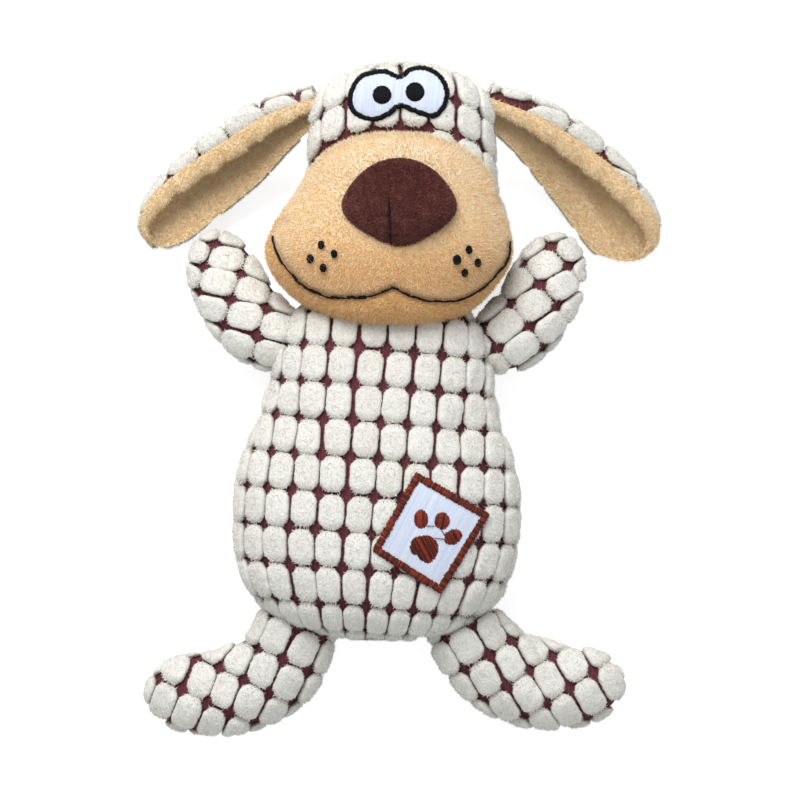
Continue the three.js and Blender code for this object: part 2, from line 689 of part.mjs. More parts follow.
// Belly patch with its border and paw
function addPatch() {
  const group = bodies.torso_body;
  const middle = onTorso(patch_place_shares);
  const turn = THREE.MathUtils.degToRad(patch_turn);
  const place = ([x, y]) => [
    middle.x + x * Math.cos(turn) - y * Math.sin(turn),
    middle.y + x * Math.sin(turn) + y * Math.cos(turn)];
  const rounded = (inset) => {
    const [w, h] = [patch_width / 2 - inset, patch_height / 2 - inset];
    const radius = patch_corner - inset / 2;
    const points = [];
    [[1, 1], [-1, 1], [-1, -1], [1, -1]].forEach(([sx, sy], corner) => {
      for (let i = 0; i <= corner_bends; i++) {
        const a = (Math.PI / 2) * (corner + i / corner_bends);
        points.push(place([sx * (w - radius) + radius * Math.cos(a),
          sy * (h - radius) + radius * Math.sin(a)]));
      }
    });
    return prism(points);
  };
  const field_top = fit_gap + felt_thick;
  piece("belly_patch", group, "satin_white",
    onForm(torso, rounded(patch_border + seam_gap), fit_gap, field_top));
  piece("patch_border", group, "satin_rust",
    onForm(torso, rounded(0).subtract(rounded(patch_border)), fit_gap, field_top + thread_rise));
  const pad = closedOutline(paw_pad_shares.map(([x, y]) => [
    middle.x + paw_place_shares[0] * patch_width + x * paw_pad_width,
    middle.y + paw_place_shares[1] * patch_width + y * paw_pad_width]), curve_steps);
  const [low, high] = [field_top + seam_gap, field_top + seam_gap + thread_rise];
  piece("paw_pad", group, "satin_rust", onForm(torso, prism(pad), low, high));
  toe_place_shares.forEach(([x, y], i) => {
    const toe = disc(middle.x + x * patch_width, middle.y + y * patch_width, paw_toe_radius);
    piece("paw_toe_" + (i + 1), group, "satin_rust", onForm(torso, toe, low, high));
  });
}

// A place on the head or muzzle, from shares across its half width and down its length
function onFace(form, [across, along]) {
  const top = form.route.getPointAt(0);
  return [top.x + across * form.half_width, top.y - along * form.length];
}

function addHead() {
  const group = body("head_body", neck_pivot, bodies.torso_body);
  const trimmed = (solid) => solid.subtract(neck_room).subtract(under_floor);
  piece("head_front_panel", group, "dimple_plush", trimmed(panel(head, 1, plush_skin)));
  piece("head_back_panel", group, "dimple_plush", trimmed(panel(head, -1, plush_skin)));
  piece("head_stuffing", group, "stuffing",
    trimmed(wholeForm(head, -plush_skin - seam_gap)));
  addMuzzle(group);
  addEyes(group);
}

function addMuzzle(group) {
  const trimmed = (solid) => solid.subtract(head_around).subtract(neck_room);
  const shell = wholeForm(muzzle, 0).subtract(wholeForm(muzzle, -plush_skin));
  const line = smoothPairs(mouth_line_shares.map((p) => onFace(muzzle, p)), curve_steps);
  const mouth = line.map((p) => [p.x, p.y]);
  const low = muzzle_top.y - 2 * muzzle_length;
  const [first, last] = [mouth[0], mouth[mouth.length - 1]];
  const below = prism([[first[0], low], [last[0], low], ...mouth.slice().reverse()]);
  const slit = prism(band(mouth, seam_gap));
  piece("muzzle_panel", group, "short_plush", trimmed(shell.subtract(below).subtract(slit)));
  piece("chin_panel", group, "short_plush", trimmed(shell.intersect(below).subtract(slit)));
  piece("muzzle_stuffing", group, "stuffing",
    trimmed(wholeForm(muzzle, -plush_skin - seam_gap)));
  const thread = prism(band(mouth.slice(corner_steps, -corner_steps), mouth_thread));
  piece("mouth_stitch", group, "satin_black",
    onForm(muzzle, thread, fit_gap, fit_gap + thread_rise).subtract(neck_room));
  whisker_shares.forEach((share, i) => {
    const dot = disc(...onFace(muzzle, share), whisker_radius);
    piece("whisker_dot_" + (i + 1), group, "satin_black",
      onForm(muzzle, dot, fit_gap, fit_gap + thread_rise));
  });
  const cover = wholeForm(nose, 0).subtract(wholeForm(nose, -nose_skin));
  piece("nose_cover", group, "nose_plush", cover.subtract(muzzle_around));
  piece("nose_stuffing", group, "stuffing",
    wholeForm(nose, -nose_skin - seam_gap).subtract(muzzle_around));
  const [x, y] = onFace(nose, nose_stitch_shares);
  const seam = band([[x, y], [x, y - nose_length * nose_stitch_share]], mouth_thread);
  piece("nose_centre_stitch", group, "satin_black",
    onForm(nose, prism(seam), fit_gap, fit_gap + thread_rise).subtract(muzzle_around));
}

function addEyes(group) {
  const [x, y] = onFace(head, [0, eye_place_share]);
  const goggle = (inset) => {
    const scale = eye_width - 2 * inset;
    const points = eye_outline_shares.map(([a, b]) => [x + a * scale, y + b * scale]);
    return prism(closedOutline(points, curve_steps));
  };
  const top = fit_gap + felt_thick;
  piece("eye_patch", group, "satin_white",
    onForm(head, goggle(eye_rim + seam_gap), fit_gap, top));
  piece("eye_outline", group, "satin_black",
    onForm(head, goggle(0).subtract(goggle(eye_rim)), fit_gap, top + thread_rise));
  pupil_shares.forEach(([a, b], i) => {
    const pupil = disc(x + a * eye_width, y + b * eye_width, pupil_radius);
    piece(["pupil_left", "pupil_right"][i], group, "satin_black",
      onForm(head, pupil, top + seam_gap, top + seam_gap + thread_rise));
  });
}

// One layer of an ear: a bent sheet between two distances from the ear's middle surface
function earLayer(route, near, far) {
  const rings = [];
  for (let i = 0; i <= ear_rows; i++) {
    const along = Math.sin((i * Math.PI) / (2 * ear_rows));
    const wide = wideAt(route.width_shares, along);
    const open = Math.pow(along, ear_opening);
    const line = ear_curled_shares.map(([p, q], k) => new THREE.Vector2(
      p + (ear_open_shares[k][0] - p) * open, q + (ear_open_shares[k][1] - q) * open)
      .multiplyScalar(wide * ear_half_width));
    const place = route.curve.getPointAt(along);
    const ahead = route.curve.getTangentAt(along);
    const upper = new THREE.Vector3(-ahead.y, ahead.x, 0).normalize();
    upper.multiplyScalar(route.side);
    const offset = (distance) => line.map((p, k) => {
      const step = line[Math.min(k + 1, line.length - 1)].clone()
        .sub(line[Math.max(k - 1, 0)]).normalize();
      const [u, v] = [p.x + step.y * distance, p.y - step.x * distance];
      return place.clone().addScaledVector(upper, u).setZ(place.z + v);
    });
    rings.push([...offset(near), ...offset(far).reverse()]);
  }
  const count = rings[0].length;
  const half = count / 2;
  const faces = [];
  for (let i = 0; i < ear_rows; i++) {
    for (let k = 0; k < count; k++) {
      const [a, b] = [i * count + k, i * count + ((k + 1) % count)];
      faces.push(a, b, a + count, b, b + count, a + count);
    }
  }
  const last = ear_rows * count;
  for (let k = 0; k + 1 < half; k++) {
    const [a, b, c, d] = [k, k + 1, count - 2 - k, count - 1 - k];
    faces.push(a, c, b, a, d, c, last + a, last + b, last + c, last + a, last + c, last + d);
  }
  const layer = fromFaces(rings.flat(), faces);
  const made = solidOf(layer);
  if (made.volume() > 0) return made;
  layer.setIndex(Array.from(layer.index.array).reverse());
  return solidOf(layer);
}

function addEars() {
  ears.forEach((ear) => {
    const [across, along] = ear_root_shares;
    const edge = wideAt(head_outline_shares, along);
    const [x, y] = onFace(head, [ear.side * across, along]);
    const [pivot_x, pivot_y] = onFace(head, [ear.side * edge, along]);
    const drop = seam_level - ear_outer_thick - limb_floor_gap;
    const points = ear.route_shares.map(([a, b, level]) => new THREE.Vector3(
      x + a * ear_length, y + b * ear_length, seam_level - level * drop));
    const curve = new THREE.CatmullRomCurve3(points, false, "centripetal");
    const pivot = new THREE.Vector3(pivot_x, pivot_y, seam_level);
    const group = body(ear.name + "_body", pivot, bodies.head_body);
    group.userData.axis = ear.axis;
    const room = sweep(head_around.add(muzzle_around), pivot, ear.axis, ear_turn);
    const route = { curve, side: ear.side, width_shares: ear.width_shares };
    piece(ear.name + "_outer", group, "dimple_plush",
      earLayer(route, seam_gap / 2, seam_gap / 2 + ear_outer_thick).subtract(room));
    piece(ear.name + "_lining", group, "short_plush",
      earLayer(route, -seam_gap / 2, -seam_gap / 2 - ear_lining_thick).subtract(room));
  });
}

function addLimbs() {
  limbs.forEach((limb) => {
    const form = limbForm(limb);
    const pivot = limbPivot(limb);
    const group = body(limb.name + "_body", pivot, bodies.torso_body);
    group.userData.axis = limb.axis;
    let room = sweep(torso_around, pivot, limb.axis, limb_turn);
    if (limb.kind === "arm") {
      room = room.add(sweep(nodding_face, pivot, limb.axis, limb_turn));
    }
    piece(limb.name + "_front_panel", group, "dimple_plush",
      panel(form, 1, plush_skin).subtract(room));
    piece(limb.name + "_back_panel", group, "dimple_plush",
      panel(form, -1, plush_skin).subtract(room));
    piece(limb.name + "_stuffing", group, "stuffing",
      wholeForm(form, -plush_skin - seam_gap).subtract(room));
  });
}

addTorso();
addPatch();
addHead();
addEars();
addLimbs();

// The origin goes to the floor under the middle of the toy
const whole = new THREE.Group();
const box = new THREE.Box3().setFromObject(toy);
const middle = box.getCenter(new THREE.Vector3());
toy.position.set(-middle.x, -middle.y, -box.min.z);
whole.add(toy);

export default whole;
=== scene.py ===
"""A plush dog toy that lies on its back: dimpled cream plush, a short-pile muzzle and ear linings,
and eyes, mouth and belly patch in satin stitch. Named lengths are millimetres and the scene is in
metres. +Z is away from the floor and +Y points to the top of the head."""

import json
import math
from functools import partial

import bpy
import numpy as np
from bpy.props import FloatProperty, FloatVectorProperty, PointerProperty
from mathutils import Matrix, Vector
from mathutils.bvhtree import BVHTree


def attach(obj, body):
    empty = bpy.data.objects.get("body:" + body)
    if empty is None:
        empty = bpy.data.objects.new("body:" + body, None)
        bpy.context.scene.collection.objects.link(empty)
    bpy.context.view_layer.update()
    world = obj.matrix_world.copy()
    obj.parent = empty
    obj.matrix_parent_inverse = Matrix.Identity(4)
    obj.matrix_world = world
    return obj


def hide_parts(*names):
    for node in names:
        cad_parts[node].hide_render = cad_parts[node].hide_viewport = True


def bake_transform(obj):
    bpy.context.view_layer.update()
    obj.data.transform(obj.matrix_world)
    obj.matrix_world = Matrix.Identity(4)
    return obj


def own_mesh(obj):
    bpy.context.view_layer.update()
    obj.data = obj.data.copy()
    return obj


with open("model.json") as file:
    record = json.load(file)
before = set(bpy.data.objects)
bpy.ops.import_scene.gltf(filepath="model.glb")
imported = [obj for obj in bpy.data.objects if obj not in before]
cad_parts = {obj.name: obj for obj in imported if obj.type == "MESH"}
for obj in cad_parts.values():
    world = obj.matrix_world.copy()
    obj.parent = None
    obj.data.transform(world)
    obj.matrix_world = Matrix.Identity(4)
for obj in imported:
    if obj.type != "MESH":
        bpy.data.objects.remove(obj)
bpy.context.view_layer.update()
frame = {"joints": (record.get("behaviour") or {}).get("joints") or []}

bl_info = {
    "name": "Plush Dog Toy",
    "version": (1, 0, 0),
    "blender": (4, 5, 0),
    "location": "3D View > Sidebar > Plush Dog",
    "description": "Sews a stuffed toy dog of dimpled plush round its frame",
    "category": "Object",
}

MM = 0.001
UP = np.array([0.0, 0.0, 1.0])

# The materials' names
CREAM_PILE = "Dimple plush pile, cream polyester"
MAROON_GROUND = "Knitted polyester ground, maroon"
MUZZLE_PILE = "Short plush pile, tan polyester"
CHIN_PILE = "Short plush pile, chin tan"
EAR_PILE = "Ear lining plush, tan polyester"
NOSE_PILE = "Nose plush, dark brown polyester"
FILLING = "Loose polyester fibre filling, white"
PLASTIC = "Blow-moulded soft polyethylene, milky"
WHITE_THREAD = "Rayon satin stitch, white"
BLACK_THREAD = "Rayon satin stitch, black"
RUST_THREAD = "Rayon satin stitch, rust"
TABLE = "Matt white table laminate"

# How the forms sit, in millimetres, and their outlines, in shares of their lengths and widths
SEAM_LEVEL = 38.0
HEAD_SHIFT = 7.0
NECK_OVERLAP = 14.0
CHIN_OVERHANG = 10.5
MUZZLE_LIFT = 12.0
MUZZLE_SHIFT = -4.3
LEAN = math.radians(2.5)
FLOOR_GAP = 1.2
TORSO_OUTLINE = [
    (0, 0), (0.008, 0.18), (0.035, 0.38), (0.075, 0.55), (0.13, 0.66), (0.2, 0.735),
    (0.3, 0.79), (0.4, 0.855), (0.5, 0.94), (0.6, 0.995), (0.69, 1), (0.78, 0.975),
    (0.855, 0.92), (0.91, 0.82), (0.95, 0.69), (0.98, 0.5), (0.995, 0.26), (1, 0),
]
HEAD_OUTLINE = [
    (0, 0), (0.006, 0.22), (0.025, 0.43), (0.055, 0.6), (0.09, 0.71), (0.14, 0.78),
    (0.21, 0.825), (0.386, 0.865), (0.486, 0.88), (0.585, 0.92), (0.685, 0.97), (0.75, 1),
    (0.826, 0.96), (0.896, 0.8), (0.95, 0.56), (0.985, 0.29), (1, 0),
]
MUZZLE_OUTLINE = [
    (0, 0), (0.01, 0.28), (0.035, 0.43), (0.075, 0.54), (0.13, 0.64), (0.19, 0.71),
    (0.245, 0.765), (0.3, 0.81), (0.38, 0.88), (0.46, 0.94), (0.58, 1), (0.68, 0.975),
    (0.775, 0.88), (0.85, 0.77), (0.91, 0.64), (0.96, 0.49), (0.99, 0.3), (1, 0),
]
MUZZLE_DRIFT = [(0, 2.5), (0.13, 3.0), (0.245, 2.5), (0.3, 2.0), (0.38, 0.3), (0.46, -0.6),
                (0.6, -1.6), (0.77, -2.0), (1, 0.5)]
NOSE_OUTLINE = [
    (0, 0), (0.015, 0.22), (0.08, 0.48), (0.18, 0.69), (0.3, 0.85), (0.42, 0.96), (0.52, 1),
    (0.62, 0.95), (0.74, 0.78), (0.86, 0.52), (0.95, 0.27), (1, 0),
]
ARM_OUTLINE = [
    (0, 0), (0.02, 0.5), (0.08, 0.82), (0.22, 0.98), (0.45, 1.04), (0.68, 1), (0.83, 0.85),
    (0.93, 0.6), (0.985, 0.28), (1, 0),
]
LEG_OUTLINE = [
    (0, 0), (0.02, 0.6), (0.08, 0.86), (0.22, 0.93), (0.4, 1), (0.6, 0.96), (0.8, 0.87),
    (0.92, 0.65), (0.985, 0.3), (1, 0),
]
LIMBS = {
    "arm_left": dict(
        kind="arm", root=(-0.575, 0.214), grain=-16.0, tuft_at=(227.4, 259.7),
        route=[(0, 0, 0), (-0.25, 0.13, 0.2), (-0.43, 0.365, 0.6), (-0.52, 0.585, 0.9),
               (-0.545, 0.76, 1)]),
    "arm_right": dict(
        kind="arm", root=(0.64, 0.21), grain=36.0, tuft_at=(561.7, 286.9),
        route=[(0, 0, 0), (0.255, 0.158, 0.2), (0.415, 0.392, 0.6), (0.5, 0.59, 0.9),
               (0.565, 0.77, 1)]),
    "leg_left": dict(
        kind="leg", root=(-0.52, 0.9), grain=66.0, tuft_at=(264.2, 669.3),
        route=[(0, 0, 0), (-0.023, -0.186, 0.2), (-0.116, -0.335, 0.5),
               (-0.302, -0.428, 0.8), (-0.535, -0.446, 0.95), (-0.73, -0.432, 1)]),
    "leg_right": dict(
        kind="leg", root=(0.62, 0.9), grain=-60.0, tuft_at=(525.6, 693.5),
        route=[(0, 0, 0), (0.035, -0.14, 0.2), (0.15, -0.275, 0.5),
               (0.33, -0.36, 0.8), (0.55, -0.378, 0.95), (0.77, -0.318, 1)]),
}
EARS = {
    "ear_left": dict(
        side=-1, grain=35.0, tuft_at=(218.0, 138.0), ridge=0.1, lip=0.2,
        route=[(0, 0, 0), (-0.232, -0.104, 0.4), (-0.398, -0.218, 0.7), (-0.55, -0.332, 0.88),
               (-0.678, -0.441, 0.96), (-0.763, -0.536, 0.99), (-0.81, -0.625, 1)],
        widths=[(0, 0.42), (0.12, 0.6), (0.3, 0.84), (0.5, 0.96), (0.7, 0.96), (0.85, 0.88),
                (0.93, 0.71), (0.975, 0.44), (1, 0.05)]),
    "ear_right": dict(
        side=1, grain=-35.0, tuft_at=(575.0, 137.0), ridge=0.24, lip=0.1,
        route=[(0, 0, 0), (0.23, -0.108, 0.4), (0.4, -0.23, 0.7), (0.545, -0.376, 0.88),
               (0.65, -0.512, 0.96), (0.71, -0.602, 0.99), (0.745, -0.695, 1)],
        widths=[(0, 0.42), (0.12, 0.6), (0.3, 0.85), (0.5, 1.04), (0.7, 1.16), (0.85, 1.13),
                (0.93, 0.92), (0.975, 0.58), (1, 0.06)]),
}
EAR_CURLED = [(-0.93, 0.4), (-0.4, 0.02), (0.27, -0.1), (0.8, 0.13), (1, 0.5), (0.86, 0.86),
              (0.5, 0.98)]
EAR_OPEN = [(-0.95, 0.3), (-0.5, 0.06), (0, 0), (0.4, 0.04), (0.72, 0.14), (0.9, 0.28),
            (1, 0.46)]
LIP_CURLED = [(0.24, 0.93), (0.02, 0.99), (0.04, 1.12), (0.32, 1.19), (0.56, 1.12)]
LIP_OPEN = [(0.86, 0.56), (0.66, 0.64), (0.66, 0.78), (0.86, 0.84), (1.02, 0.72)]

# Embroidery, in pixels of the photograph
MOUTH_LINE = [
    (281, 219), (276, 228), (273, 239), (278, 255), (288, 270), (302, 285), (315, 292), (329, 297),
    (353, 298), (372, 296), (386, 291), (394, 288), (401, 292), (410, 296), (429, 301), (455, 301),
    (472, 295), (488, 284), (500, 271), (508, 260), (511, 242),
]
MOUTH_STITCHED_FROM = 11  # the point of its smoothed line at which the stitches start
WHISKERS = [(321, 245, 3.3), (334, 254, 3.2), (310, 259, 3.5), (323, 268, 3.3), (469, 250, 3.3),
            (457, 260, 4.0), (478, 263, 3.3), (465, 273, 3.3)]
EYES_PRESSED_ABOVE = 96  # the stitching presses the plush down above this pixel row
EYE_KNOT = [(401, 69), (399, 65)]
NOSE_LINE = [(389, 200), (389.5, 220), (391, 244)]
BELOW_MOUTH = [(550, 225), (550, 480), (230, 480), (230, 205)]  # it closes the mouth's line
CHIN_ROW = 235  # below it the muzzle's underside belongs to the chin
RIM_ROW = 205  # above it the muzzle's pile is long where it meets the skull
SHADED_ROWS = (150, 270)  # painted light and shade: the muzzle's pile is painted pale above them and darker, more orange, below
EYE_OUTLINE = [
    (348, 100), (351, 87), (360, 75), (373, 70.5), (387, 70), (400, 75), (408, 68.5), (422, 66),
    (437, 71.5), (446, 82), (449, 96), (444, 110), (434, 118), (422, 116), (410, 111), (400, 108),
    (389, 116), (375, 121.5), (361, 119), (351, 111),
]
PUPILS = [(382, 95, 9.2, 9.2), (415, 92, 9.2, 9.6)]
PATCH_CORNERS = [(416, 472), (490, 514), (441, 594), (372, 551)]
PAW_PAD = [(410, 546), (414, 538), (422, 535.5), (431, 536.5), (437, 543), (438, 552), (434, 559),
           (428, 563.5), (421, 560), (417, 555), (412, 553)]
TOES = [(421, 519, 7.0, 9.4, 0), (442, 521, 7.5, 8.5, -10), (453, 537, 9.0, 7.5, 25)]
JUMP_THREADS = [((426, 526), (434, 526)), ((441, 529), (445, 536)), ((434, 538), (444, 539))]

# The squeaker, the forms and the cloth. Lengths are millimetres, and the rest are shares
SQUEAKER_ALONG = 0.66
SQUEAKER_RADIUS, SQUEAKER_FOLD, SQUEAKER_WALL, SQUEAKER_PLATE = 18.0, 2.5, 1.2, 1.6
SQUEAKER_FOLDS = 4
SQUEAKER_LEVELS = (13.5, 15.4, 35.4, 35.7)  # base plate, bellows from and to, lid
LIMB_SIZES = {"arm": (75.5, 19.0, 17.5, ARM_OUTLINE), "leg": (101.0, 22.5, 20.5, LEG_OUTLINE)}
EAR_LENGTH, EAR_HALF_WIDTH, EAR_THICK, EAR_LAYERS_APART = 99.0, 16.5, 3.0, 0.8
TORSO_LENGTH, TORSO_HALF_WIDTH = 170.5, 67.5
HEAD_LENGTH, HEAD_HALF_WIDTH = 113.0, 52.0
MUZZLE_LENGTH, MUZZLE_HALF_WIDTH = 90.0, 58.0
NOSE_LENGTH, NOSE_HALF_WIDTH, NOSE_LEVEL = 43.0, 27.0, 88.0
MUZZLE_SINK, MUZZLE_PILE_HEIGHT = 1.6, 1.5  # the ground cloth below the form, the pile above it
NOSE_SINK, NOSE_PILE_HEIGHT = 1.0, 0.9
GATHERED, GATHERED_OVER = 0.38, 50.0  # how much tighter the torso's columns get near its lower end
DOME_RISE, DOME_HALF_WIDTH, DOME_STRETCH = 11.0, 42.0, 0.12  # how the head's rows bend
EAR_RISE, EAR_RISE_UNTIL = 3.3, 0.45  # how far an ear's root is set up the head's side
CLOTH_LOW = 0.3  # the stuffed forms' cloth comes no closer to the floor
PRESSED_BY = 1.4  # how far the eyes' stitching presses the plush down
MOUTH_DEPTH, MOUTH_WIDTH = 2.6, 2.6
MOUTH_FADE = 14.0  # the crease starts this far above the seam, and is full twice as far up
FILLING_GAP = 0.3  # between the torso's two fillings, and round the squeaker
BARE, BARE_RADIUS = 0.4, 5.0  # cloth that shows but carries no tufts. Hidden cloth is 1

# The photograph's frame: one pixel's width on the toy at one level, and the pixel over the origin
PIXEL = 0.469
SHARP_LEVEL = 40.0
MIDDLE_PIXEL = (399.0, 401.0)
PHOTO_PIXELS = 800
CAMERA_HEIGHT = 3040.0


def at_pixel(x, y):
    """The place on the floor, in millimetres, that a pixel of the photograph looks at."""
    return np.array([(x - MIDDLE_PIXEL[0]) * PIXEL, (MIDDLE_PIXEL[1] - y) * PIXEL])


def joint_place(name):
    """A joint's pivot in millimetres."""
    joint = next(j for j in frame["joints"] if j["name"] == name)
    return np.array(joint["pos_m"]) / MM


CENTRE = at_pixel(PHOTO_PIXELS / 2, PHOTO_PIXELS / 2)
NECK = joint_place("neck_nod")[:2] + (-HEAD_SHIFT, NECK_OVERLAP / 2)
DOWN_TORSO = np.array([-math.sin(LEAN), -math.cos(LEAN)])
RIGHT_OF_TORSO = np.array([math.cos(LEAN), -math.sin(LEAN)])


# Node trees and materials

def add(tree, kind, links=None, **settings):
    """A node with its settings, and its inputs set to values, sockets or nodes' first outputs."""
    node = tree.nodes.new(kind)
    for name, value in settings.items():
        setattr(node, name, value)
    for name, value in (links or {}).items():
        if isinstance(name, int):
            socket = node.inputs[name]
        else:
            socket = next(s for s in node.inputs if s.enabled and name in (s.identifier, s.name))
        for one in value if isinstance(value, list) else [value]:
            if isinstance(one, bpy.types.Node):
                one = next(s for s in one.outputs if s.enabled)
            if isinstance(one, bpy.types.NodeSocket):
                tree.links.new(one, socket)
            else:
                socket.default_value = one
    return node


def colour(hex_text):
    """A linear colour from sRGB hex."""
    parts = [int(hex_text[i:i + 2], 16) / 255 for i in (1, 3, 5)]
    return tuple(c / 12.92 if c <= 0.04045 else ((c + 0.055) / 1.055) ** 2.4 for c in parts) + (1,)


def lumps(place, millimetres, detail=2.0):
    """A noise's inputs, for lumps that are about this wide."""
    return {"Vector": place, "Scale": 1 / (millimetres * MM), "Detail": detail}


def between(value, low, high, to_low=0.0, to_high=1.0):
    """The inputs that stretch one range to another."""
    return {"Value": value, "From Min": low, "From Max": high, "To Min": to_low, "To Max": to_high}


def material_tree(name):
    """An empty material's tree, a function that adds its nodes, and the object's coordinates."""
    material = bpy.data.materials.new(name)
    material.use_nodes = True
    tree = material.node_tree
    tree.nodes.clear()
    node = partial(add, tree)
    return node, node("ShaderNodeTexCoord").outputs["Object"]


def surface(node, links):
    """Ends a material's tree with a Principled surface."""
    node("ShaderNodeOutputMaterial", {"Surface": node("ShaderNodeBsdfPrincipled", links)})


def pile_material(name, root, mid, tip, variation, sheen):
    """Polyester pile, cut short: dull, with painted shade that darkens it low down towards the root
    and painted light that pales it where it is highest, and a soft sheen where it leans.
    """
    node, place = material_tree(name)
    height = node("ShaderNodeAttribute", attribute_name="pile_height").outputs["Fac"]
    tone = node("ShaderNodeAttribute", attribute_name="tone").outputs["Fac"]
    patches = node("ShaderNodeTexNoise", lumps(place, 3.5, 3.0))
    patchy = node("ShaderNodeMath", {0: tone, 1: 0.1, 2: patches}, operation="MULTIPLY_ADD")
    # Painted light: the highest pile, a tuft's top or short pile with a high lit value, is painted
    # paler.
    painted_top_light = node("ShaderNodeMapRange", between(height, 0.6, 1.0, -0.1, 0.2))
    pale = node("ShaderNodeMath", {0: patchy, 1: painted_top_light}, operation="ADD")
    upper = node("ShaderNodeMix", {
        "Factor": node("ShaderNodeMapRange", between(pale, 0.35, 0.95)),
        "A_Color": colour(mid), "B_Color": colour(tip)}, data_type="RGBA")
    strands = node("ShaderNodeTexNoise", lumps(place, 0.7))
    mottled = node("ShaderNodeMix", {
        "Factor": 1.0, "A_Color": upper,
        "B_Color": node("ShaderNodeMapRange", between(strands, 0.3, 0.7, 1 - variation))},
        data_type="RGBA", blend_type="MULTIPLY")
    # Painted shade: low in the pile the colour goes over to the root colour, for the shade among
    # the fibres.
    whole = node("ShaderNodeMix", {
        "Factor": node("ShaderNodeMapRange", between(height, 0.12, 0.6)),
        "A_Color": colour(root), "B_Color": mottled}, data_type="RGBA")
    curls = node("ShaderNodeTexNoise", lumps(place, 1.3, 4.0))
    surface(node, {
        "Base Color": whole, "Roughness": 0.95, "Specular IOR Level": 0.15,
        "Normal": node("ShaderNodeBump", {"Strength": 0.8, "Distance": 0.7 * MM, "Height": curls}),
        "Sheen Weight": sheen, "Sheen Tint": colour(tip), "Sheen Roughness": 0.5})


def ground_material(name, dark, light):
    """The knitted polyester ground that the pile stands on: tiny ribs, painted darker in the
    grooves between them as painted shade, and mottled at random; dull.
    """
    node, place = material_tree(name)
    rib = 0.8 * MM
    ribs = node("ShaderNodeTexWave", {"Vector": place, "Scale": 0.5 / rib / math.pi,
                                      "Distortion": 4.0, "Detail": 2.0},
                bands_direction="X").outputs["Fac"]
    # Painted shade: the grooves of the ribs' bump are painted darker.
    rib_shade_and_mottle = node("ShaderNodeMath", {
        0: ribs, 1: 0.25, 2: node("ShaderNodeTexNoise", lumps(place, 2.5))},
        operation="MULTIPLY_ADD")
    surface(node, {
        "Base Color": node("ShaderNodeMix", {
            "Factor": node("ShaderNodeMapRange", between(rib_shade_and_mottle, 0.3, 1.0)),
            "A_Color": colour(dark), "B_Color": colour(light)}, data_type="RGBA"),
        "Normal": node("ShaderNodeBump", {"Strength": 0.3, "Distance": 0.2 * MM, "Height": ribs}),
        "Roughness": 0.95, "Specular IOR Level": 0.2})


def filling_material(name, dark, light):
    """Loose crimped fibres: a bright mass, painted darker in soft patches for the shade in its
    hollow places, with fine strands.
    """
    node, place = material_tree(name)
    # Painted shade: soft noise patches are painted darker.
    hollow_shade = node("ShaderNodeTexNoise", lumps(place, 6.0, 3.0))
    strands = node("ShaderNodeTexNoise", lumps(place, 0.5, 4.0))
    surface(node, {
        "Base Color": node("ShaderNodeMix", {
            "Factor": node("ShaderNodeMapRange", between(hollow_shade, 0.3, 0.7)),
            "A_Color": colour(dark), "B_Color": colour(light)}, data_type="RGBA"),
        "Normal": node("ShaderNodeBump", {
            "Strength": 0.7, "Distance": 0.5 * MM, "Height": strands}),
        "Roughness": 0.95, "Sheen Weight": 0.3})


def blown_material(name, dark, light):
    """Thin blow-moulded plastic: milky, slightly wavy, with a satin gloss."""
    node, place = material_tree(name)
    cloudy = node("ShaderNodeTexNoise", lumps(place, 5.0))
    waves = node("ShaderNodeTexNoise", lumps(place, 2.0))
    surface(node, {
        "Base Color": node("ShaderNodeMix", {
            "Factor": cloudy, "A_Color": colour(dark), "B_Color": colour(light)},
            data_type="RGBA"),
        "Normal": node("ShaderNodeBump", {"Strength": 0.2, "Distance": 0.2 * MM, "Height": waves}),
        "Roughness": node("ShaderNodeMapRange", between(cloudy, 0.0, 1.0, 0.3, 0.45)),
        "IOR": 1.51, "Subsurface Weight": 0.3, "Subsurface Scale": 3 * MM})


def thread_material(name, dark, light, gloss):
    """Rayon embroidery thread: a twisted, faintly glossy filament."""
    node, place = material_tree(name)
    tone = node("ShaderNodeAttribute", attribute_name="tone").outputs["Fac"]
    twist = node("ShaderNodeTexNoise", lumps(place, 1.5))
    varied = node("ShaderNodeMath", {0: tone, 1: 0.6, 2: twist}, operation="MULTIPLY_ADD")
    surface(node, {
        "Base Color": node("ShaderNodeMix", {
            "Factor": node("ShaderNodeMapRange", between(varied, 0.3, 1.1)),
            "A_Color": colour(dark), "B_Color": colour(light)}, data_type="RGBA"),
        "Roughness": 0.6, "Specular IOR Level": gloss})


# Lines and grids

def smooth_line(points, steps, power=0.5):
    """A Catmull-Rom line through points. Power 0 spaces it evenly, and 0.5 by distance."""
    p = np.array(points, float)
    p = np.vstack([2 * p[0] - p[1], p, 2 * p[-1] - p[-2]])
    parts = []
    for i in range(1, len(p) - 2):
        q = p[i - 1:i + 3]
        gaps = np.linalg.norm(np.diff(q, axis=0), axis=1) ** power
        t = np.concatenate([[0], np.cumsum(gaps)])
        s = np.linspace(t[1], t[2], steps, endpoint=False)[:, None]
        a = [(q[k] * (t[k + 1] - s) + q[k + 1] * (s - t[k])) / (t[k + 1] - t[k]) for k in range(3)]
        b = [(a[k] * (t[k + 2] - s) + a[k + 1] * (s - t[k])) / (t[k + 2] - t[k]) for k in range(2)]
        parts.append((b[0] * (t[2] - s) + b[1] * (s - t[1])) / (t[2] - t[1]))
    return np.vstack(parts + [p[-2][None]])


def lengths_along(line):
    """The distance from a line's start to each of its points."""
    steps = np.linalg.norm(np.diff(line, axis=0), axis=1)
    return np.concatenate([[0], np.cumsum(steps)])


def evenly(line, count):
    """The line with count points at even distances."""
    way = lengths_along(line)
    marks = np.linspace(0, way[-1], count)
    return np.stack([np.interp(marks, way, line[:, k]) for k in range(line.shape[1])], 1)


def unit(vectors):
    return vectors / np.maximum(np.linalg.norm(vectors, axis=-1, keepdims=True), 1e-12)


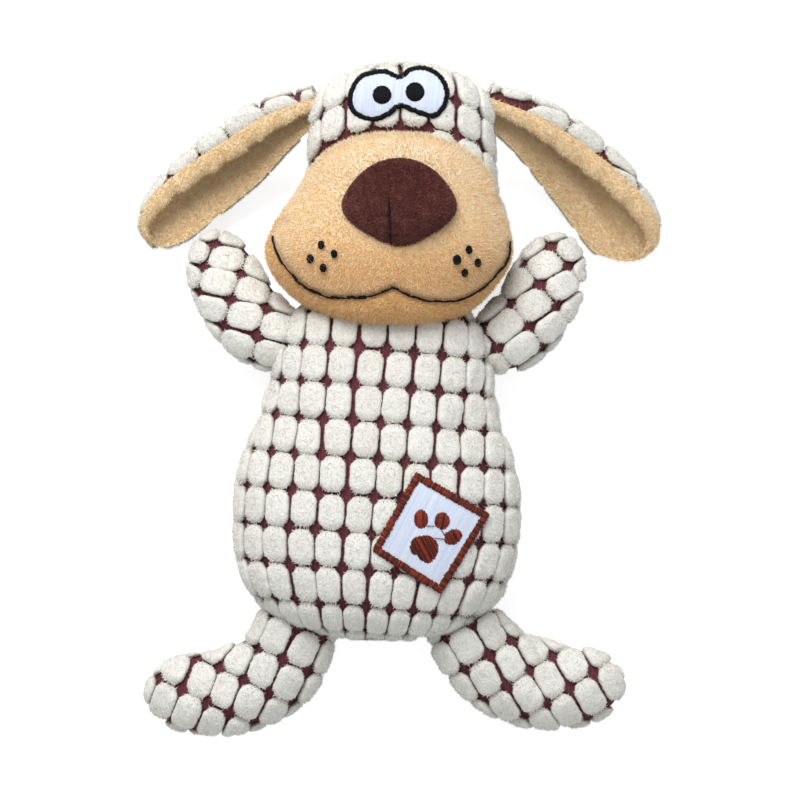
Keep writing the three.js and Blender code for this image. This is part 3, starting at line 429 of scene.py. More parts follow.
def denser(grid, times):
    """A grid of points with each gap split smoothly into several."""
    for axis in (0, 1):
        count = grid.shape[axis]
        marks = np.arange((count - 1) * times + 1) / times
        base = np.minimum(marks.astype(int), count - 2)
        t = marks - base
        weights = np.zeros((len(marks), count))
        parts = [(-t + 2 * t**2 - t**3) / 2, (2 - 5 * t**2 + 3 * t**3) / 2,
                 (t + 4 * t**2 - 3 * t**3) / 2, (t**3 - t**2) / 2]
        for k, part in enumerate(parts):
            np.add.at(weights, (np.arange(len(marks)), np.clip(base + k - 1, 0, count - 1)), part)
        grid = np.moveaxis(np.tensordot(weights, np.moveaxis(grid, axis, 0), 1), 0, axis)
    return grid


def grid_normals(grid):
    """Outward directions of a grid whose rows run down and columns to the right."""
    down, right = np.gradient(grid, axis=0), np.gradient(grid, axis=1)
    normals = unit(np.cross(down, right))
    for row, near in ((0, 1), (-1, -2)):
        if np.ptp(grid[row], axis=0).max() < 1e-6:
            normals[row] = unit(normals[near].mean(0))
    return normals


def grid_faces(index):
    """Quads over a grid of vertex numbers, and triangles where a row is one point."""
    faces = []
    for r in range(index.shape[0] - 1):
        for c in range(index.shape[1] - 1):
            ring = [index[r, c], index[r + 1, c], index[r + 1, c + 1], index[r, c + 1]]
            face = [int(v) for k, v in enumerate(ring) if v != ring[k - 1]]
            if len(face) > 2:
                faces.append(face)
    return faces


def bag_faces(index):
    """Faces over a front and a back grid of vertex numbers, so that both face out."""
    return grid_faces(index[0]) + [face[::-1] for face in grid_faces(index[1])]


def signed_area(outline):
    """Twice a closed outline's area, below zero where it runs clockwise."""
    x, y = outline.T
    return np.sum(x * np.roll(y, -1) - np.roll(x, -1) * y)


def new_object(name, points, faces, edges=()):
    """A mesh object from points in millimetres."""
    mesh = bpy.data.meshes.new(name)
    mesh.from_pydata((np.asarray(points) * MM).tolist(), list(edges), faces)
    made = bpy.data.objects.new(name, mesh)
    bpy.context.scene.collection.objects.link(made)
    return made


def store(made, **values):
    """Keeps a number or a vector for each point of an object."""
    for key, value in values.items():
        kind, field = ("FLOAT", "value") if np.ndim(value) == 1 else ("FLOAT_VECTOR", "vector")
        attribute = made.data.attributes.new(key, kind, "POINT")
        attribute.data.foreach_set(field, np.asarray(value, np.float32).ravel())


def dress(made, material):
    """Gives an object a material and smooth shading."""
    made.data.materials.append(bpy.data.materials[material])
    made.data.shade_smooth()


def remove(*objects):
    for one in objects:
        bpy.data.objects.remove(one)


def baked(source, name):
    """A plain mesh object from what an object's modifiers make. The source is removed."""
    graph = bpy.context.evaluated_depsgraph_get()
    mesh = bpy.data.meshes.new_from_object(source.evaluated_get(graph), depsgraph=graph)
    remove(source)
    made = bpy.data.objects.new(name, mesh)
    mesh.name = name
    bpy.context.scene.collection.objects.link(made)
    return made


# Stuffed forms

class Form:
    """A stuffed form: a route with widths along it, and heights in front of and behind its seam."""

    def __init__(self, route, half_width, front, back, outline, swell=1.0, square=0.0):
        self.route = smooth_line(route, 40)
        self.way = lengths_along(self.route)
        self.length = self.way[-1]
        self.half_width, self.front, self.back = half_width, front, back
        self.pairs = smooth_line(outline, 10, 0.0)
        self.swell, self.square = swell, square

    def station(self, along, grow=0.0):
        """Place, direction and right-hand direction at shares of the length."""
        far = (0.5 + (along - 0.5) * (1 + 2 * grow / self.length)) * self.length
        near = np.clip(far, 0, self.length)
        place = np.stack([np.interp(near, self.way, self.route[:, k]) for k in range(3)], -1)
        step = self.length / 200
        back = np.clip(near - step, 0, self.length)
        ahead = np.clip(near + step, 0, self.length)
        tangent = unit(np.stack([
            np.interp(ahead, self.way, self.route[:, k]) -
            np.interp(back, self.way, self.route[:, k]) for k in range(3)], -1))
        place = place + tangent * (far - near)[..., None]
        right = unit(np.stack([-tangent[..., 1], tangent[..., 0], 0 * far], -1))
        return place, right

    def ring(self, along, wide, turn, grow):
        """Points round a section. Turn 0 is the right seam, a quarter turn the front."""
        place, right = self.station(along, grow)
        height = np.where(np.sin(turn) > 0, self.front, self.back) + grow
        square = 1 + self.square * np.sin(2 * turn) ** 2
        across = np.cos(turn) * wide * (self.half_width + grow) * square
        up = np.sin(turn) * wide**self.swell * height * square
        return place + right * across[..., None] + UP * up[..., None]

    def skins(self, rows, columns, grow):
        """Front and back grids, from the route's start down and from the left seam to the right."""
        crown = np.stack([self.pairs[:, 0] * self.length,
                          self.pairs[:, 1] ** self.swell * (self.front + self.back) / 2], 1)
        marks = np.linspace(0, 1, rows + 1)
        share = lengths_along(crown) / lengths_along(crown)[-1]
        along, wide = (np.interp(marks, share, self.pairs[:, k]) for k in (0, 1))
        grids = []
        for side in (1, -1):
            turns = side * np.linspace(math.pi, 0, 65)
            grid = [evenly(self.ring(np.full(65, a), np.full(65, w), turns, grow), columns + 1)
                    for a, w in zip(along, np.maximum(wide, 0))]
            grids.append(np.array(grid))
        return np.array(grids)

    def holds(self, points, depth):
        """Which points lie deeper than this inside a form with a straight route."""
        start, end = self.route[0], self.route[-1]
        down = unit(end - start)
        rel = points - start
        along = (rel @ down) / self.length
        along = 0.5 + (along - 0.5) / (1 - 2 * depth / self.length)
        wide = np.interp(along, self.pairs[:, 0], self.pairs[:, 1], left=0, right=0)
        side = np.cross(UP, down)
        across = (rel @ side) / (self.half_width - depth)
        tall = np.where(rel[..., 2] > 0, self.front, self.back) - depth
        safe = np.maximum(wide, 1e-6)
        up = rel[..., 2] / tall / safe**self.swell
        return (wide > 1e-3) & ((across / safe) ** 2 + up**2 < 1)


def sewn_bag(name, grids):
    """A closed bag from a front and a back grid that share their edge, and its points."""
    rows, columns = grids.shape[1], grids.shape[2]
    index = np.arange(2 * rows * columns).reshape(2, rows, columns)
    index[1, :, 0], index[1, :, -1] = index[0, :, 0], index[0, :, -1]
    index[:, 0, :], index[:, -1, :] = index[0, 0, 0], index[0, -1, 0]
    used, compact = np.unique(index, return_inverse=True)
    compact = compact.reshape(index.shape)
    start = grids.reshape(-1, 3)[used]
    return new_object(name, start, bag_faces(compact)), start, compact


def stuffed(name, grids, pressure, slack, cap):
    """Sews a front and a back grid along their edge and blows them up as the filling does.

    The seam stays where it is, and no point moves by more than the cap."""
    bag, start, compact = sewn_bag(name + "_bag", grids)
    seam = bag.vertex_groups.new(name="seam")
    edge = np.unique(np.concatenate([compact[0, :, 0], compact[0, :, -1]]))
    seam.add([int(v) for v in edge], 1.0, "REPLACE")
    cloth = bag.modifiers.new("Filling", "CLOTH")
    settings = cloth.settings
    settings.quality = 6
    settings.mass = 0.2
    settings.tension_stiffness = settings.compression_stiffness = 12
    settings.shear_stiffness = 4
    settings.bending_stiffness = 0.4
    settings.use_pressure = True
    settings.uniform_pressure_force = pressure
    settings.effector_weights.gravity = 0
    settings.vertex_group_mass = "seam"
    settings.shrink_min = -slack
    cloth.collision_settings.use_collision = False
    scene = bpy.context.scene
    for number in range(1, 21):
        scene.frame_set(number)
    shape = bag.evaluated_get(bpy.context.evaluated_depsgraph_get()).to_mesh()
    moved = np.zeros(len(start) * 3)
    shape.vertices.foreach_get("co", moved)
    scene.frame_set(1)
    remove(bag)
    way = moved.reshape(-1, 3) / MM - start
    size = np.linalg.norm(way, axis=1, keepdims=True)
    way *= np.minimum(1, cap / np.maximum(size, 1e-9))
    print(name, "moved by up to", round(float(size.max()), 2), "mm, cap", cap)
    return (start + way)[compact]


# Plush cloth

def flat_pattern(grid, anchor):
    """Each grid point's place on the flat cloth, and its distance from the seam.

    The cloth's own frame meets the toy's at the row nearest the anchor."""
    middle = grid.shape[1] // 2
    crown = grid[:, middle]
    steps = np.linalg.norm(np.diff(crown, axis=0), axis=1)
    heading = unit(np.diff(grid[:, middle, :2], axis=0))
    line = np.vstack([crown[:1, :2], crown[:1, :2] + np.cumsum(heading * steps[:, None], 0)])
    nearest = np.argmin(np.linalg.norm(crown[:, :2] - anchor, axis=1))
    line += crown[nearest, :2] - line[nearest]
    down = unit(np.gradient(line, axis=0))
    right = np.stack([-down[:, 1], down[:, 0]], 1)
    way = np.concatenate([np.zeros((len(grid), 1)), np.cumsum(
        np.linalg.norm(np.diff(grid, axis=1), axis=2), axis=1)], 1)
    across = way - way[:, middle:middle + 1]
    flat = line[:, None] + right[:, None] * across[..., None]
    seam_way = np.minimum(way, way[:, -1:] - way)
    return np.dstack([flat, np.zeros(flat.shape[:2])]), seam_way


def cloth_object(name, flat, sewn, seam_way, hidden):
    """A flat piece of cloth that remembers where each of its points is sewn."""
    index = np.arange(flat.shape[0] * flat.shape[1]).reshape(flat.shape[:2])
    for row in (0, -1):
        if np.ptp(sewn[row], axis=0).max() < 1e-6:
            index[row] = index[row, 0]
    used, compact = np.unique(index, return_inverse=True)
    made = new_object(name, flat.reshape(-1, 3)[used], grid_faces(compact.reshape(index.shape)))
    store(made, sewn_place=sewn.reshape(-1, 3)[used] * MM,
          sewn_normal=grid_normals(sewn).reshape(-1, 3)[used],
          seam_way=seam_way.reshape(-1)[used] * MM, hidden=hidden.reshape(-1)[used])
    return made


def tuft_object(name, pitch, tall, sides=28):
    """One tuft of the dimpled plush: a pillow with cut corners, low where it meets the next one."""
    half = np.array([pitch[0] * 0.457, pitch[1] * 0.497])
    corners = [(1, -0.57), (1, 0.57), (0.5, 1), (-0.5, 1), (-1, 0.57), (-1, -0.57), (-0.5, -1),
               (0.5, -1)]
    ring = []
    for k, corner in enumerate(corners):
        before, after = (np.array(corners[(k + step) % 8]) for step in (-1, 1))
        corner = np.array(corner)
        ring += [corner + (before - corner) * 0.09, corner + (after - corner) * 0.09]
    outline = evenly(np.array(ring + ring[:1]) * half, sides + 1)[:-1]
    middle_way = unit(outline)
    rings = [(0.7, 0), (0.15, 0.3), (0, 0.6), (0.3, 0.81), (0.95, 0.93), (2.1, 0.985), (3.8, 1.0)]
    points = []
    for inset_by, height in rings:
        ring = outline - middle_way * inset_by
        neck = np.clip((np.abs(ring[:, 1]) / half[1] - 0.6) / 0.4, 0, 1)
        level = tall * height * (1 - 0.42 * neck**1.6)
        points.append(np.column_stack([ring, level]))
    points = np.vstack(points + [np.array([[0, 0, tall]])])
    index = np.arange(len(rings) * sides).reshape(len(rings), sides)
    index = np.hstack([index, index[:, :1]])
    faces = [face[::-1] for face in grid_faces(index)]
    last = len(points) - 1
    faces += [(int(index[-1, k]), int(index[-1, k + 1]), last) for k in range(sides)]
    made = new_object(name, points, faces)
    across, along = (np.abs(points[:, :2]) / half).T
    long_side = np.clip((across - 0.65) / 0.3, 0, 1) * np.clip((0.85 - along) / 0.2, 0, 1)
    end = np.clip((along - 0.7) / 0.3, 0, 1)
    store(made, shorn=0.5 + 0.4 * long_side - 0.9 * end)
    return made


def tree_with(name, sockets):
    """A Geometry Nodes tree with named inputs. Returns what adds its nodes, and its inputs."""
    tree = bpy.data.node_groups.new(name, "GeometryNodeTree")
    for key, kind in {"Geometry": "Geometry", **sockets}.items():
        tree.interface.new_socket(key, in_out="INPUT", socket_type="NodeSocket" + kind)
    tree.interface.new_socket("Geometry", in_out="OUTPUT", socket_type="NodeSocketGeometry")
    node = partial(add, tree)
    return node, node("NodeGroupInput").outputs


def use_tree(target, name, **values):
    """Puts a tree on an object, with its inputs set by their names."""
    tree = bpy.data.node_groups[name]
    modifier = target.modifiers.new(name, "NODES")
    modifier.node_group = tree
    for item in tree.interface.items_tree:
        key = item.name.lower().replace(" ", "_")
        if item.in_out == "INPUT" and key in values:
            modifier[item.identifier] = values[key]


def tufting_tree():
    """Tufts in rows on the flat cloth, carried with it to where it is sewn."""
    node, given = tree_with("Tufting", {
        "Tuft": "Object", "Columns": "Int", "Rows": "Int", "Pitch Across": "Float",
        "Pitch Along": "Float", "Middle": "Vector", "Turn": "Float", "Wander": "Float",
        "Fray": "Float", "Edge": "Float", "Height": "Float", "Seed": "Int",
        "Ground": "Material", "Pile": "Material"})
    cloth = given["Geometry"]
    here = node("GeometryNodeInputPosition")

    def of_cloth(name, kind, where):
        value = node("GeometryNodeInputNamedAttribute", {"Name": name}, data_type=kind)
        return node("GeometryNodeSampleNearestSurface", {
            "Mesh": cloth, "Value": value, "Sample Position": where}, data_type=kind)

    sizes = {"Vertices X": given["Columns"], "Vertices Y": given["Rows"]}
    for size, count, pitch in (("Size X", "Columns", "Pitch Across"),
                               ("Size Y", "Rows", "Pitch Along")):
        gaps = node("ShaderNodeMath", {0: given[count], 1: 1}, operation="SUBTRACT")
        sizes[size] = node("ShaderNodeMath", {0: given[pitch], 1: gaps}, operation="MULTIPLY")
    grid = node("GeometryNodeMeshGrid", sizes)
    laid = node("GeometryNodeTransform", {
        "Geometry": grid, "Translation": given["Middle"],
        "Rotation": node("ShaderNodeCombineXYZ", {"Z": given["Turn"]})})
    far = node("ShaderNodeMath", {0: given["Wander"], 1: -1.0}, operation="MULTIPLY")
    stray = node("FunctionNodeRandomValue", {
        "Min": node("ShaderNodeCombineXYZ", {"X": far, "Y": far}),
        "Max": node("ShaderNodeCombineXYZ", {"X": given["Wander"], "Y": given["Wander"]}),
        "Seed": given["Seed"]}, data_type="FLOAT_VECTOR")
    points = node("GeometryNodeSetPosition", {
        "Geometry": node("GeometryNodeMeshToPoints", {"Mesh": laid}), "Offset": stray})
    away = node("GeometryNodeProximity", {
        "Geometry": cloth, "Sample Position": here}, target_element="FACES").outputs["Distance"]
    off = node("ShaderNodeMath", {0: away, 1: given["Edge"]}, operation="GREATER_THAN")
    under = node("ShaderNodeMath", {0: of_cloth("hidden", "FLOAT", here), 1: BARE / 2},
                 operation="GREATER_THAN")
    either = node("ShaderNodeMath", {0: off, 1: under}, operation="MAXIMUM")
    points = node("GeometryNodeDeleteGeometry", {"Geometry": points, "Selection": either},
                  domain="POINT")
    tip, size, tone = (node("FunctionNodeRandomValue", {
        "Min": low, "Max": high,
        "Seed": node("ShaderNodeMath", {0: given["Seed"], 1: step}, operation="ADD")},
        data_type=kind) for step, kind, low, high in (
            (1, "FLOAT", -0.05, 0.05),
            (2, "FLOAT_VECTOR", (0.97, 0.97, 0.9), (1.02, 1.02, 1.08)),
            (3, "FLOAT", -1.0, 1.0)))
    facing = node("ShaderNodeMath", {0: given["Turn"], 1: tip}, operation="ADD")
    tuft = node("GeometryNodeObjectInfo", {"Object": given["Tuft"], "As Instance": True})
    tufts = node("GeometryNodeInstanceOnPoints", {
        "Points": points, "Instance": tuft.outputs["Geometry"], "Scale": size,
        "Rotation": node("ShaderNodeCombineXYZ", {"Z": facing})})
    tufts = node("GeometryNodeStoreNamedAttribute", {
        "Geometry": tufts, "Name": "tone", "Value": tone}, data_type="FLOAT", domain="INSTANCE")
    apart = node("ShaderNodeSeparateXYZ", {"Vector": here}).outputs
    # Painted shade and light: each tuft's share of its height becomes its pile_height, so its foot
    # is painted darker and its top paler.
    share = node("ShaderNodeMath", {0: apart["Z"], 1: given["Height"]}, operation="DIVIDE")
    tufts = node("GeometryNodeStoreNamedAttribute", {
        "Geometry": node("GeometryNodeRealizeInstances", {"Geometry": tufts}),
        "Name": "pile_height", "Value": share}, data_type="FLOAT", domain="POINT")
    uneven = node("ShaderNodeTexNoise", {
        "Vector": here, "Scale": 330.0, "Detail": 2.0, "Roughness": 0.6}).outputs["Color"]
    uneven = node("ShaderNodeVectorMath", {0: uneven, 1: (0.5, 0.5, 0.5)}, operation="SUBTRACT")
    frayed = node("ShaderNodeMath", {0: given["Fray"], 1: share}, operation="MULTIPLY")
    uneven = node("ShaderNodeVectorMath", {0: uneven, "Scale": frayed}, operation="SCALE")
    tufts = node("GeometryNodeSetPosition", {"Geometry": tufts, "Offset": uneven})
    foot = node("ShaderNodeCombineXYZ", {"X": apart["X"], "Y": apart["Y"]})
    flatter = node("ShaderNodeMapRange",
                   between(of_cloth("seam_way", "FLOAT", foot), 0.0, 5 * MM, 0.3))
    level = node("ShaderNodeMath", {0: apart["Z"], 1: flatter}, operation="MULTIPLY")
    rise = node("ShaderNodeVectorMath", {
        0: of_cloth("sewn_normal", "FLOAT_VECTOR", foot), "Scale": level}, operation="SCALE")
    sewn = node("ShaderNodeVectorMath", {
        0: of_cloth("sewn_place", "FLOAT_VECTOR", foot), 1: rise}, operation="ADD")
    above = node("ShaderNodeVectorMath", {0: sewn, 1: (-1.0, -1.0, 0.2 * MM)},
                 operation="MAXIMUM")
    tufts = node("GeometryNodeSetPosition", {"Geometry": tufts, "Position": above})
    covered = node("GeometryNodeInputNamedAttribute", {"Name": "hidden"}, data_type="FLOAT")
    covered = node("ShaderNodeMath", {0: covered, 1: 0.5}, operation="GREATER_THAN")
    shown = node("GeometryNodeDeleteGeometry", {"Geometry": cloth, "Selection": covered},
                 domain="FACE")
    ground = node("GeometryNodeSetPosition", {
        "Geometry": shown, "Position": node(
            "GeometryNodeInputNamedAttribute", {"Name": "sewn_place"}, data_type="FLOAT_VECTOR")})
    both = node("GeometryNodeJoinGeometry", {"Geometry": [
        node("GeometryNodeSetMaterial", {"Geometry": ground, "Material": given["Ground"]}),
        node("GeometryNodeSetMaterial", {"Geometry": tufts, "Material": given["Pile"]})]})
    node("NodeGroupOutput", {0: node("GeometryNodeSetShadeSmooth", {"Geometry": both})})


def pile_tree():
    """Short fibres that stand on the pile, each a three-sided spike."""
    node, given = tree_with("Pile", {
        "Density": "Float", "Length": "Float", "Thickness": "Float", "Lean": "Float",
        "Seed": "Int", "Material": "Material", "Lowest": "Float"})

    skin, seed = given["Geometry"], given["Seed"]
    height, shorn = (node("GeometryNodeInputNamedAttribute", {"Name": name}, data_type="FLOAT")
                     for name in ("pile_height", "shorn"))
    high = node("ShaderNodeMath", {0: height, 1: given["Lowest"]}, operation="GREATER_THAN")
    spread = node("GeometryNodeDistributePointsOnFaces", {
        "Mesh": skin, "Selection": high, "Density": given["Density"], "Seed": seed}).outputs
    cone = node("GeometryNodeMeshCone", {
        "Vertices": 3, "Radius Top": 0.0, "Radius Bottom": given["Thickness"],
        "Depth": given["Length"]}, fill_type="NONE")
    low = node("ShaderNodeMath", {0: given["Lean"], 1: -1.0}, operation="MULTIPLY")
    tilt = node("FunctionNodeRandomValue", {
        "Min": node("ShaderNodeCombineXYZ", {"X": low, "Y": low}),
        "Max": node("ShaderNodeCombineXYZ", {"X": given["Lean"], "Y": given["Lean"], "Z": 6.28}),
        "Seed": seed}, data_type="FLOAT_VECTOR")
    size = node("FunctionNodeRandomValue", {
        "Min": 0.6, "Max": 1.25,
        "Seed": node("ShaderNodeMath", {0: seed, 1: 1}, operation="ADD")}, data_type="FLOAT")
    cut = node("ShaderNodeMath", {0: shorn, 1: 0.6}, operation="MULTIPLY")
    kept = node("ShaderNodeMath", {0: 1.0, 1: cut}, operation="SUBTRACT")
    fibres = node("GeometryNodeInstanceOnPoints", {
        "Points": spread["Points"], "Instance": cone,
        "Scale": node("ShaderNodeMath", {0: size, 1: kept}, operation="MULTIPLY"),
        "Rotation": node("FunctionNodeRotateRotation", {
            "Rotation": spread["Rotation"], "Rotate By": tilt}, rotation_space="LOCAL")})
    # Painted shade: fibres on skin with a low pile_height, where shade is painted, are darkened
    # with it.
    shade = node("ShaderNodeMath", {0: height, 1: 0.45}, operation="DIVIDE")
    shade = node("ShaderNodeMath", {0: shade, 1: 1.0}, operation="MINIMUM")
    for key, lowest, factor in (("tone", -1.0, 1.0), ("pile_height", 0.7, shade)):
        value = node("FunctionNodeRandomValue", {
            "Min": lowest, "Max": 1.0,
            "Seed": node("ShaderNodeMath", {0: seed, 1: 2}, operation="ADD")}, data_type="FLOAT")
        value = node("ShaderNodeMath", {0: value, 1: factor}, operation="MULTIPLY")
        fibres = node("GeometryNodeStoreNamedAttribute", {
            "Geometry": fibres, "Name": key, "Value": value}, data_type="FLOAT", domain="INSTANCE")
    fibres = node("GeometryNodeRealizeInstances", {"Geometry": fibres})
    above = node("ShaderNodeVectorMath", {
        0: node("GeometryNodeInputPosition"), 1: (-1.0, -1.0, 0.1 * MM)}, operation="MAXIMUM")
    fibres = node("GeometryNodeSetPosition", {"Geometry": fibres, "Position": above})
    fibres = node("GeometryNodeSetMaterial", {"Geometry": fibres, "Material": given["Material"]})
    node("NodeGroupOutput", {0: node("GeometryNodeJoinGeometry", {"Geometry": [skin, fibres]})})


# Embroidery

class Skin:
    """The outside of pieces, to lay embroidery on. Points and heights are in millimetres."""

    def __init__(self, grids):
        points, faces = [], []
        for grid in grids:
            start = len(points)
            points += grid.reshape(-1, 3).tolist()
            index = np.arange(grid.shape[0] * grid.shape[1]).reshape(grid.shape[:2]) + start
            faces += grid_faces(index)
        self.tree = BVHTree.FromPolygons(points, faces)

    def height(self, x, y):
        hit = self.tree.ray_cast(Vector((x, y, 500.0)), Vector((0, 0, -1)))[0]
        if hit is None:
            hit = self.tree.find_nearest(Vector((x, y, SEAM_LEVEL + MUZZLE_LIFT)))[0]
        return hit.z

    def bowl(self, outline):
        """A smooth bowl fitted to the heights under an outline. Its cloth bridges the tufts."""
        middle = outline.mean(0)
        spots = np.vstack([middle + (outline - middle) * s for s in (0.2, 0.4, 0.6, 0.8, 1.0)])
        heights = np.array([self.height(*spot) for spot in spots])

        def terms(at):
            x, y = (at - middle).T / 20
            return np.stack([np.ones_like(x), x, y, x * x, x * y, y * y], 1)

        found = np.linalg.lstsq(terms(spots), heights, rcond=None)[0]
        return lambda at: terms(np.atleast_2d(at)) @ found


def closed_line(points, count):
    """An even closed outline through points, without its first point again at the end."""
    p = np.array(points, float)
    ring = smooth_line(np.vstack([p[-2:], p, p[:3]]), 12)[24:24 + 12 * len(p) + 1]
    return evenly(ring, count + 1)[:-1]


def satin_band(outline, width, gap):
    """Stitches across a band that lies inside a closed outline."""
    ring = np.vstack([outline, outline[:1]])
    line = evenly(ring, max(int(lengths_along(ring)[-1] / gap), 4) + 1)[:-1]
    way = np.roll(line, -1, 0) - np.roll(line, 1, 0)
    side = unit(np.stack([-way[:, 1], way[:, 0]], 1)) * np.sign(signed_area(line))
    return [(p, p + s * width) for p, s in zip(line, side)]


def inset(outline, distance):
    """A closed outline moved inwards."""
    way = np.roll(outline, -2, 0) - np.roll(outline, 2, 0)
    side = unit(np.stack([-way[:, 1], way[:, 0]], 1))
    return outline + side * distance * np.sign(signed_area(outline))


def oval(middle, wide, tall, turn=0.0, steps=40):
    """An ellipse's outline, from radii in pixels, turned by degrees."""
    turns = np.linspace(0, 2 * math.pi, steps + 1)[:-1]
    a = math.radians(turn)
    ring = np.stack([np.cos(turns) * wide, np.sin(turns) * tall], 1) * PIXEL
    return middle + ring @ np.array([[math.cos(a), math.sin(a)], [-math.sin(a), math.cos(a)]])


def satin_fill(outline, turn, gap):
    """Parallel stitches that fill a closed outline, turned by degrees from the X axis."""
    a = math.radians(turn)
    along, across = np.array([math.cos(a), math.sin(a)]), np.array([-math.sin(a), math.cos(a)])
    low, high = (outline @ across).min(), (outline @ across).max()
    stitches = []
    for level in np.arange(low + gap / 2, high, gap):
        depth = outline @ across - level
        cuts = []
        for k in range(len(outline)):
            d0, d1 = depth[k - 1], depth[k]
            if (d0 < 0) != (d1 < 0):
                cuts.append(outline[k - 1] + (outline[k] - outline[k - 1]) * d0 / (d0 - d1))
        cuts.sort(key=lambda p: p @ along)
        stitches += list(zip(cuts[::2], cuts[1::2]))
    return stitches


def thread_tree():
    """Round threads along the edges of a mesh, with lumpy thickness."""
    node, given = tree_with("Threads", {
        "Radius": "Float", "Sides": "Int", "Seed": "Int", "Material": "Material"})
    spread = node("FunctionNodeRandomValue", {
        "Min": 0.88, "Max": 1.12, "Seed": given["Seed"]}, data_type="FLOAT")
    tube = node("GeometryNodeCurveToMesh", {
        "Curve": node("GeometryNodeMeshToCurve", {"Mesh": given["Geometry"]}),
        "Profile Curve": node("GeometryNodeCurvePrimitiveCircle", {
            "Resolution": given["Sides"], "Radius": given["Radius"]}),
        "Scale": spread, "Fill Caps": True})
    tube = node("GeometryNodeRealizeInstances", {"Geometry": tube})
    tube = node("GeometryNodeSetShadeSmooth", {"Geometry": tube})
    node("NodeGroupOutput", {0: node("GeometryNodeSetMaterial", {
        "Geometry": tube, "Material": given["Material"]})})


def embroidered(name, stitches, height_at, material, seed, lift, arch, radius, steps=5, ragged=0.0):
    """Threads laid over stitches, each an arch that dips into the cloth at both ends.

    Ragged is how far, in millimetres, a stitch's ends may run past or stop short of the outline."""
    rng = np.random.default_rng(seed)
    points, edges, tones = [], [], []
    for start, end in stitches:
        marks = np.linspace(0, 1, steps + 1)[:, None]
        way = unit(np.asarray(end) - start)
        start, end = start + way * rng.normal(0, ragged), end + way * rng.normal(0, ragged)
        flat = start + (end - start) * marks + rng.normal(0, 0.05, 2)
        bend = 1 - (2 * marks[:, 0] - 1) ** 4
        level = height_at(flat) + lift + arch * bend - 0.2 * (1 - bend)
        first = len(points)
        points += np.column_stack([flat, level]).tolist()
        edges += [(first + k, first + k + 1) for k in range(steps)]
        tones += [rng.uniform(-1, 1)] * (steps + 1)
    line = new_object(name + "_stitches", points, [], edges)
    store(line, tone=tones)
    use_tree(line, "Threads", radius=radius * MM, sides=5, seed=seed,
             material=bpy.data.materials[material])
    return baked(line, name)


# The photograph's view, and the toy's skins

def seen_at(pixels, level):
    """The places at a level that the camera sees at pixels of the photograph."""
    flat = (np.asarray(pixels, float) - MIDDLE_PIXEL) * (PIXEL, -PIXEL)
    share = (CAMERA_HEIGHT - np.asarray(level, float)) / (CAMERA_HEIGHT - SHARP_LEVEL)
    return CENTRE + (flat - CENTRE) * share.reshape(-1, 1)


def pixels_of(points):
    """The photograph's pixels at which the camera sees points."""
    share = (CAMERA_HEIGHT - SHARP_LEVEL) / (CAMERA_HEIGHT - points[..., 2:3])
    flat = CENTRE + (points[..., :2] - CENTRE) * share
    return flat / (PIXEL, -PIXEL) + MIDDLE_PIXEL


def on_skin(skin, pixels):
    """The places on a skin that the camera sees at pixels."""
    places = seen_at(pixels, SHARP_LEVEL)
    for _ in range(4):
        places = seen_at(pixels, [skin.height(*place) for place in places])
    return places


def inside_outline(points, outline):
    """Which points lie inside a closed outline."""
    inside = np.zeros(points.shape[:-1], bool)
    x, y = points[..., 0], points[..., 1]
    for (x0, y0), (x1, y1) in zip(np.roll(outline, 1, 0), outline):
        crosses = (y0 > y) != (y1 > y)
        inside ^= crosses & (x < x0 + (x1 - x0) * (y - y0) / (y1 - y0 if y1 != y0 else 1))
    return inside


def on_torso(across, along):
    """A place on the torso's seam plane, from shares across its half width and down its length."""
    flat = NECK + RIGHT_OF_TORSO * across * TORSO_HALF_WIDTH + DOWN_TORSO * along * TORSO_LENGTH
    return np.append(flat, SEAM_LEVEL)


def straight(x, y, z, direction, length):
    start = np.array([NECK[0] + x, NECK[1] + y, z])
    return [start, start + np.append(direction, 0) * length]


def limb_form(limb):
    length, half_width, thick, outline = LIMB_SIZES[limb["kind"]]
    root = on_torso(*limb["root"])
    drop = SEAM_LEVEL - thick - FLOOR_GAP
    route = [root + np.array([x * length, y * length, -level * drop])
             for x, y, level in limb["route"]]
    return Form(route, half_width, thick, thick, outline)


TORSO = Form(straight(0, 0, SEAM_LEVEL, DOWN_TORSO, TORSO_LENGTH), TORSO_HALF_WIDTH,
             front=43, back=38.5, outline=TORSO_OUTLINE, swell=0.8, square=0.05)
HEAD = Form(straight(HEAD_SHIFT, HEAD_LENGTH - NECK_OVERLAP, SEAM_LEVEL, (0, -1), HEAD_LENGTH),
            HEAD_HALF_WIDTH, front=34, back=38.5, outline=HEAD_OUTLINE, swell=0.5, square=0.05)
MUZZLE = Form(straight(HEAD_SHIFT + MUZZLE_SHIFT, MUZZLE_LENGTH - CHIN_OVERHANG - NECK_OVERLAP,
                       SEAM_LEVEL + MUZZLE_LIFT, (0, -1), MUZZLE_LENGTH),
              MUZZLE_HALF_WIDTH, front=45, back=24, outline=MUZZLE_OUTLINE, swell=0.55,
              square=0.04)
NOSE = Form(straight(HEAD_SHIFT - 1.2, MUZZLE.route[0, 1] - NECK[1] - 0.14 * MUZZLE_LENGTH,
                     NOSE_LEVEL, (0, -1), NOSE_LENGTH),
            NOSE_HALF_WIDTH, front=20, back=12, outline=NOSE_OUTLINE, swell=0.7)


def sewn_form(name, form, pile, rows, columns, cap, slack=0.01, times=3):
    """The ground cloth of a stuffed form, as a front and a back grid. The pile stands on it.

    Cap and slack are the most that the filling moves and stretches it. Times is how much denser
    the grids are than the rows and columns that the cloth simulation takes."""
    grids = form.skins(rows, columns, -pile)
    grids = stuffed(name, grids, bpy.context.scene.plush_dog.pressure, slack, cap)
    lowest = (-math.inf, -math.inf, CLOTH_LOW)
    return [np.maximum(denser(grid, times), lowest) for grid in grids]


def raised(grid, pile):
    """A front grid lifted off the cloth by the height of its pile."""
    return grid + grid_normals(grid) * pile


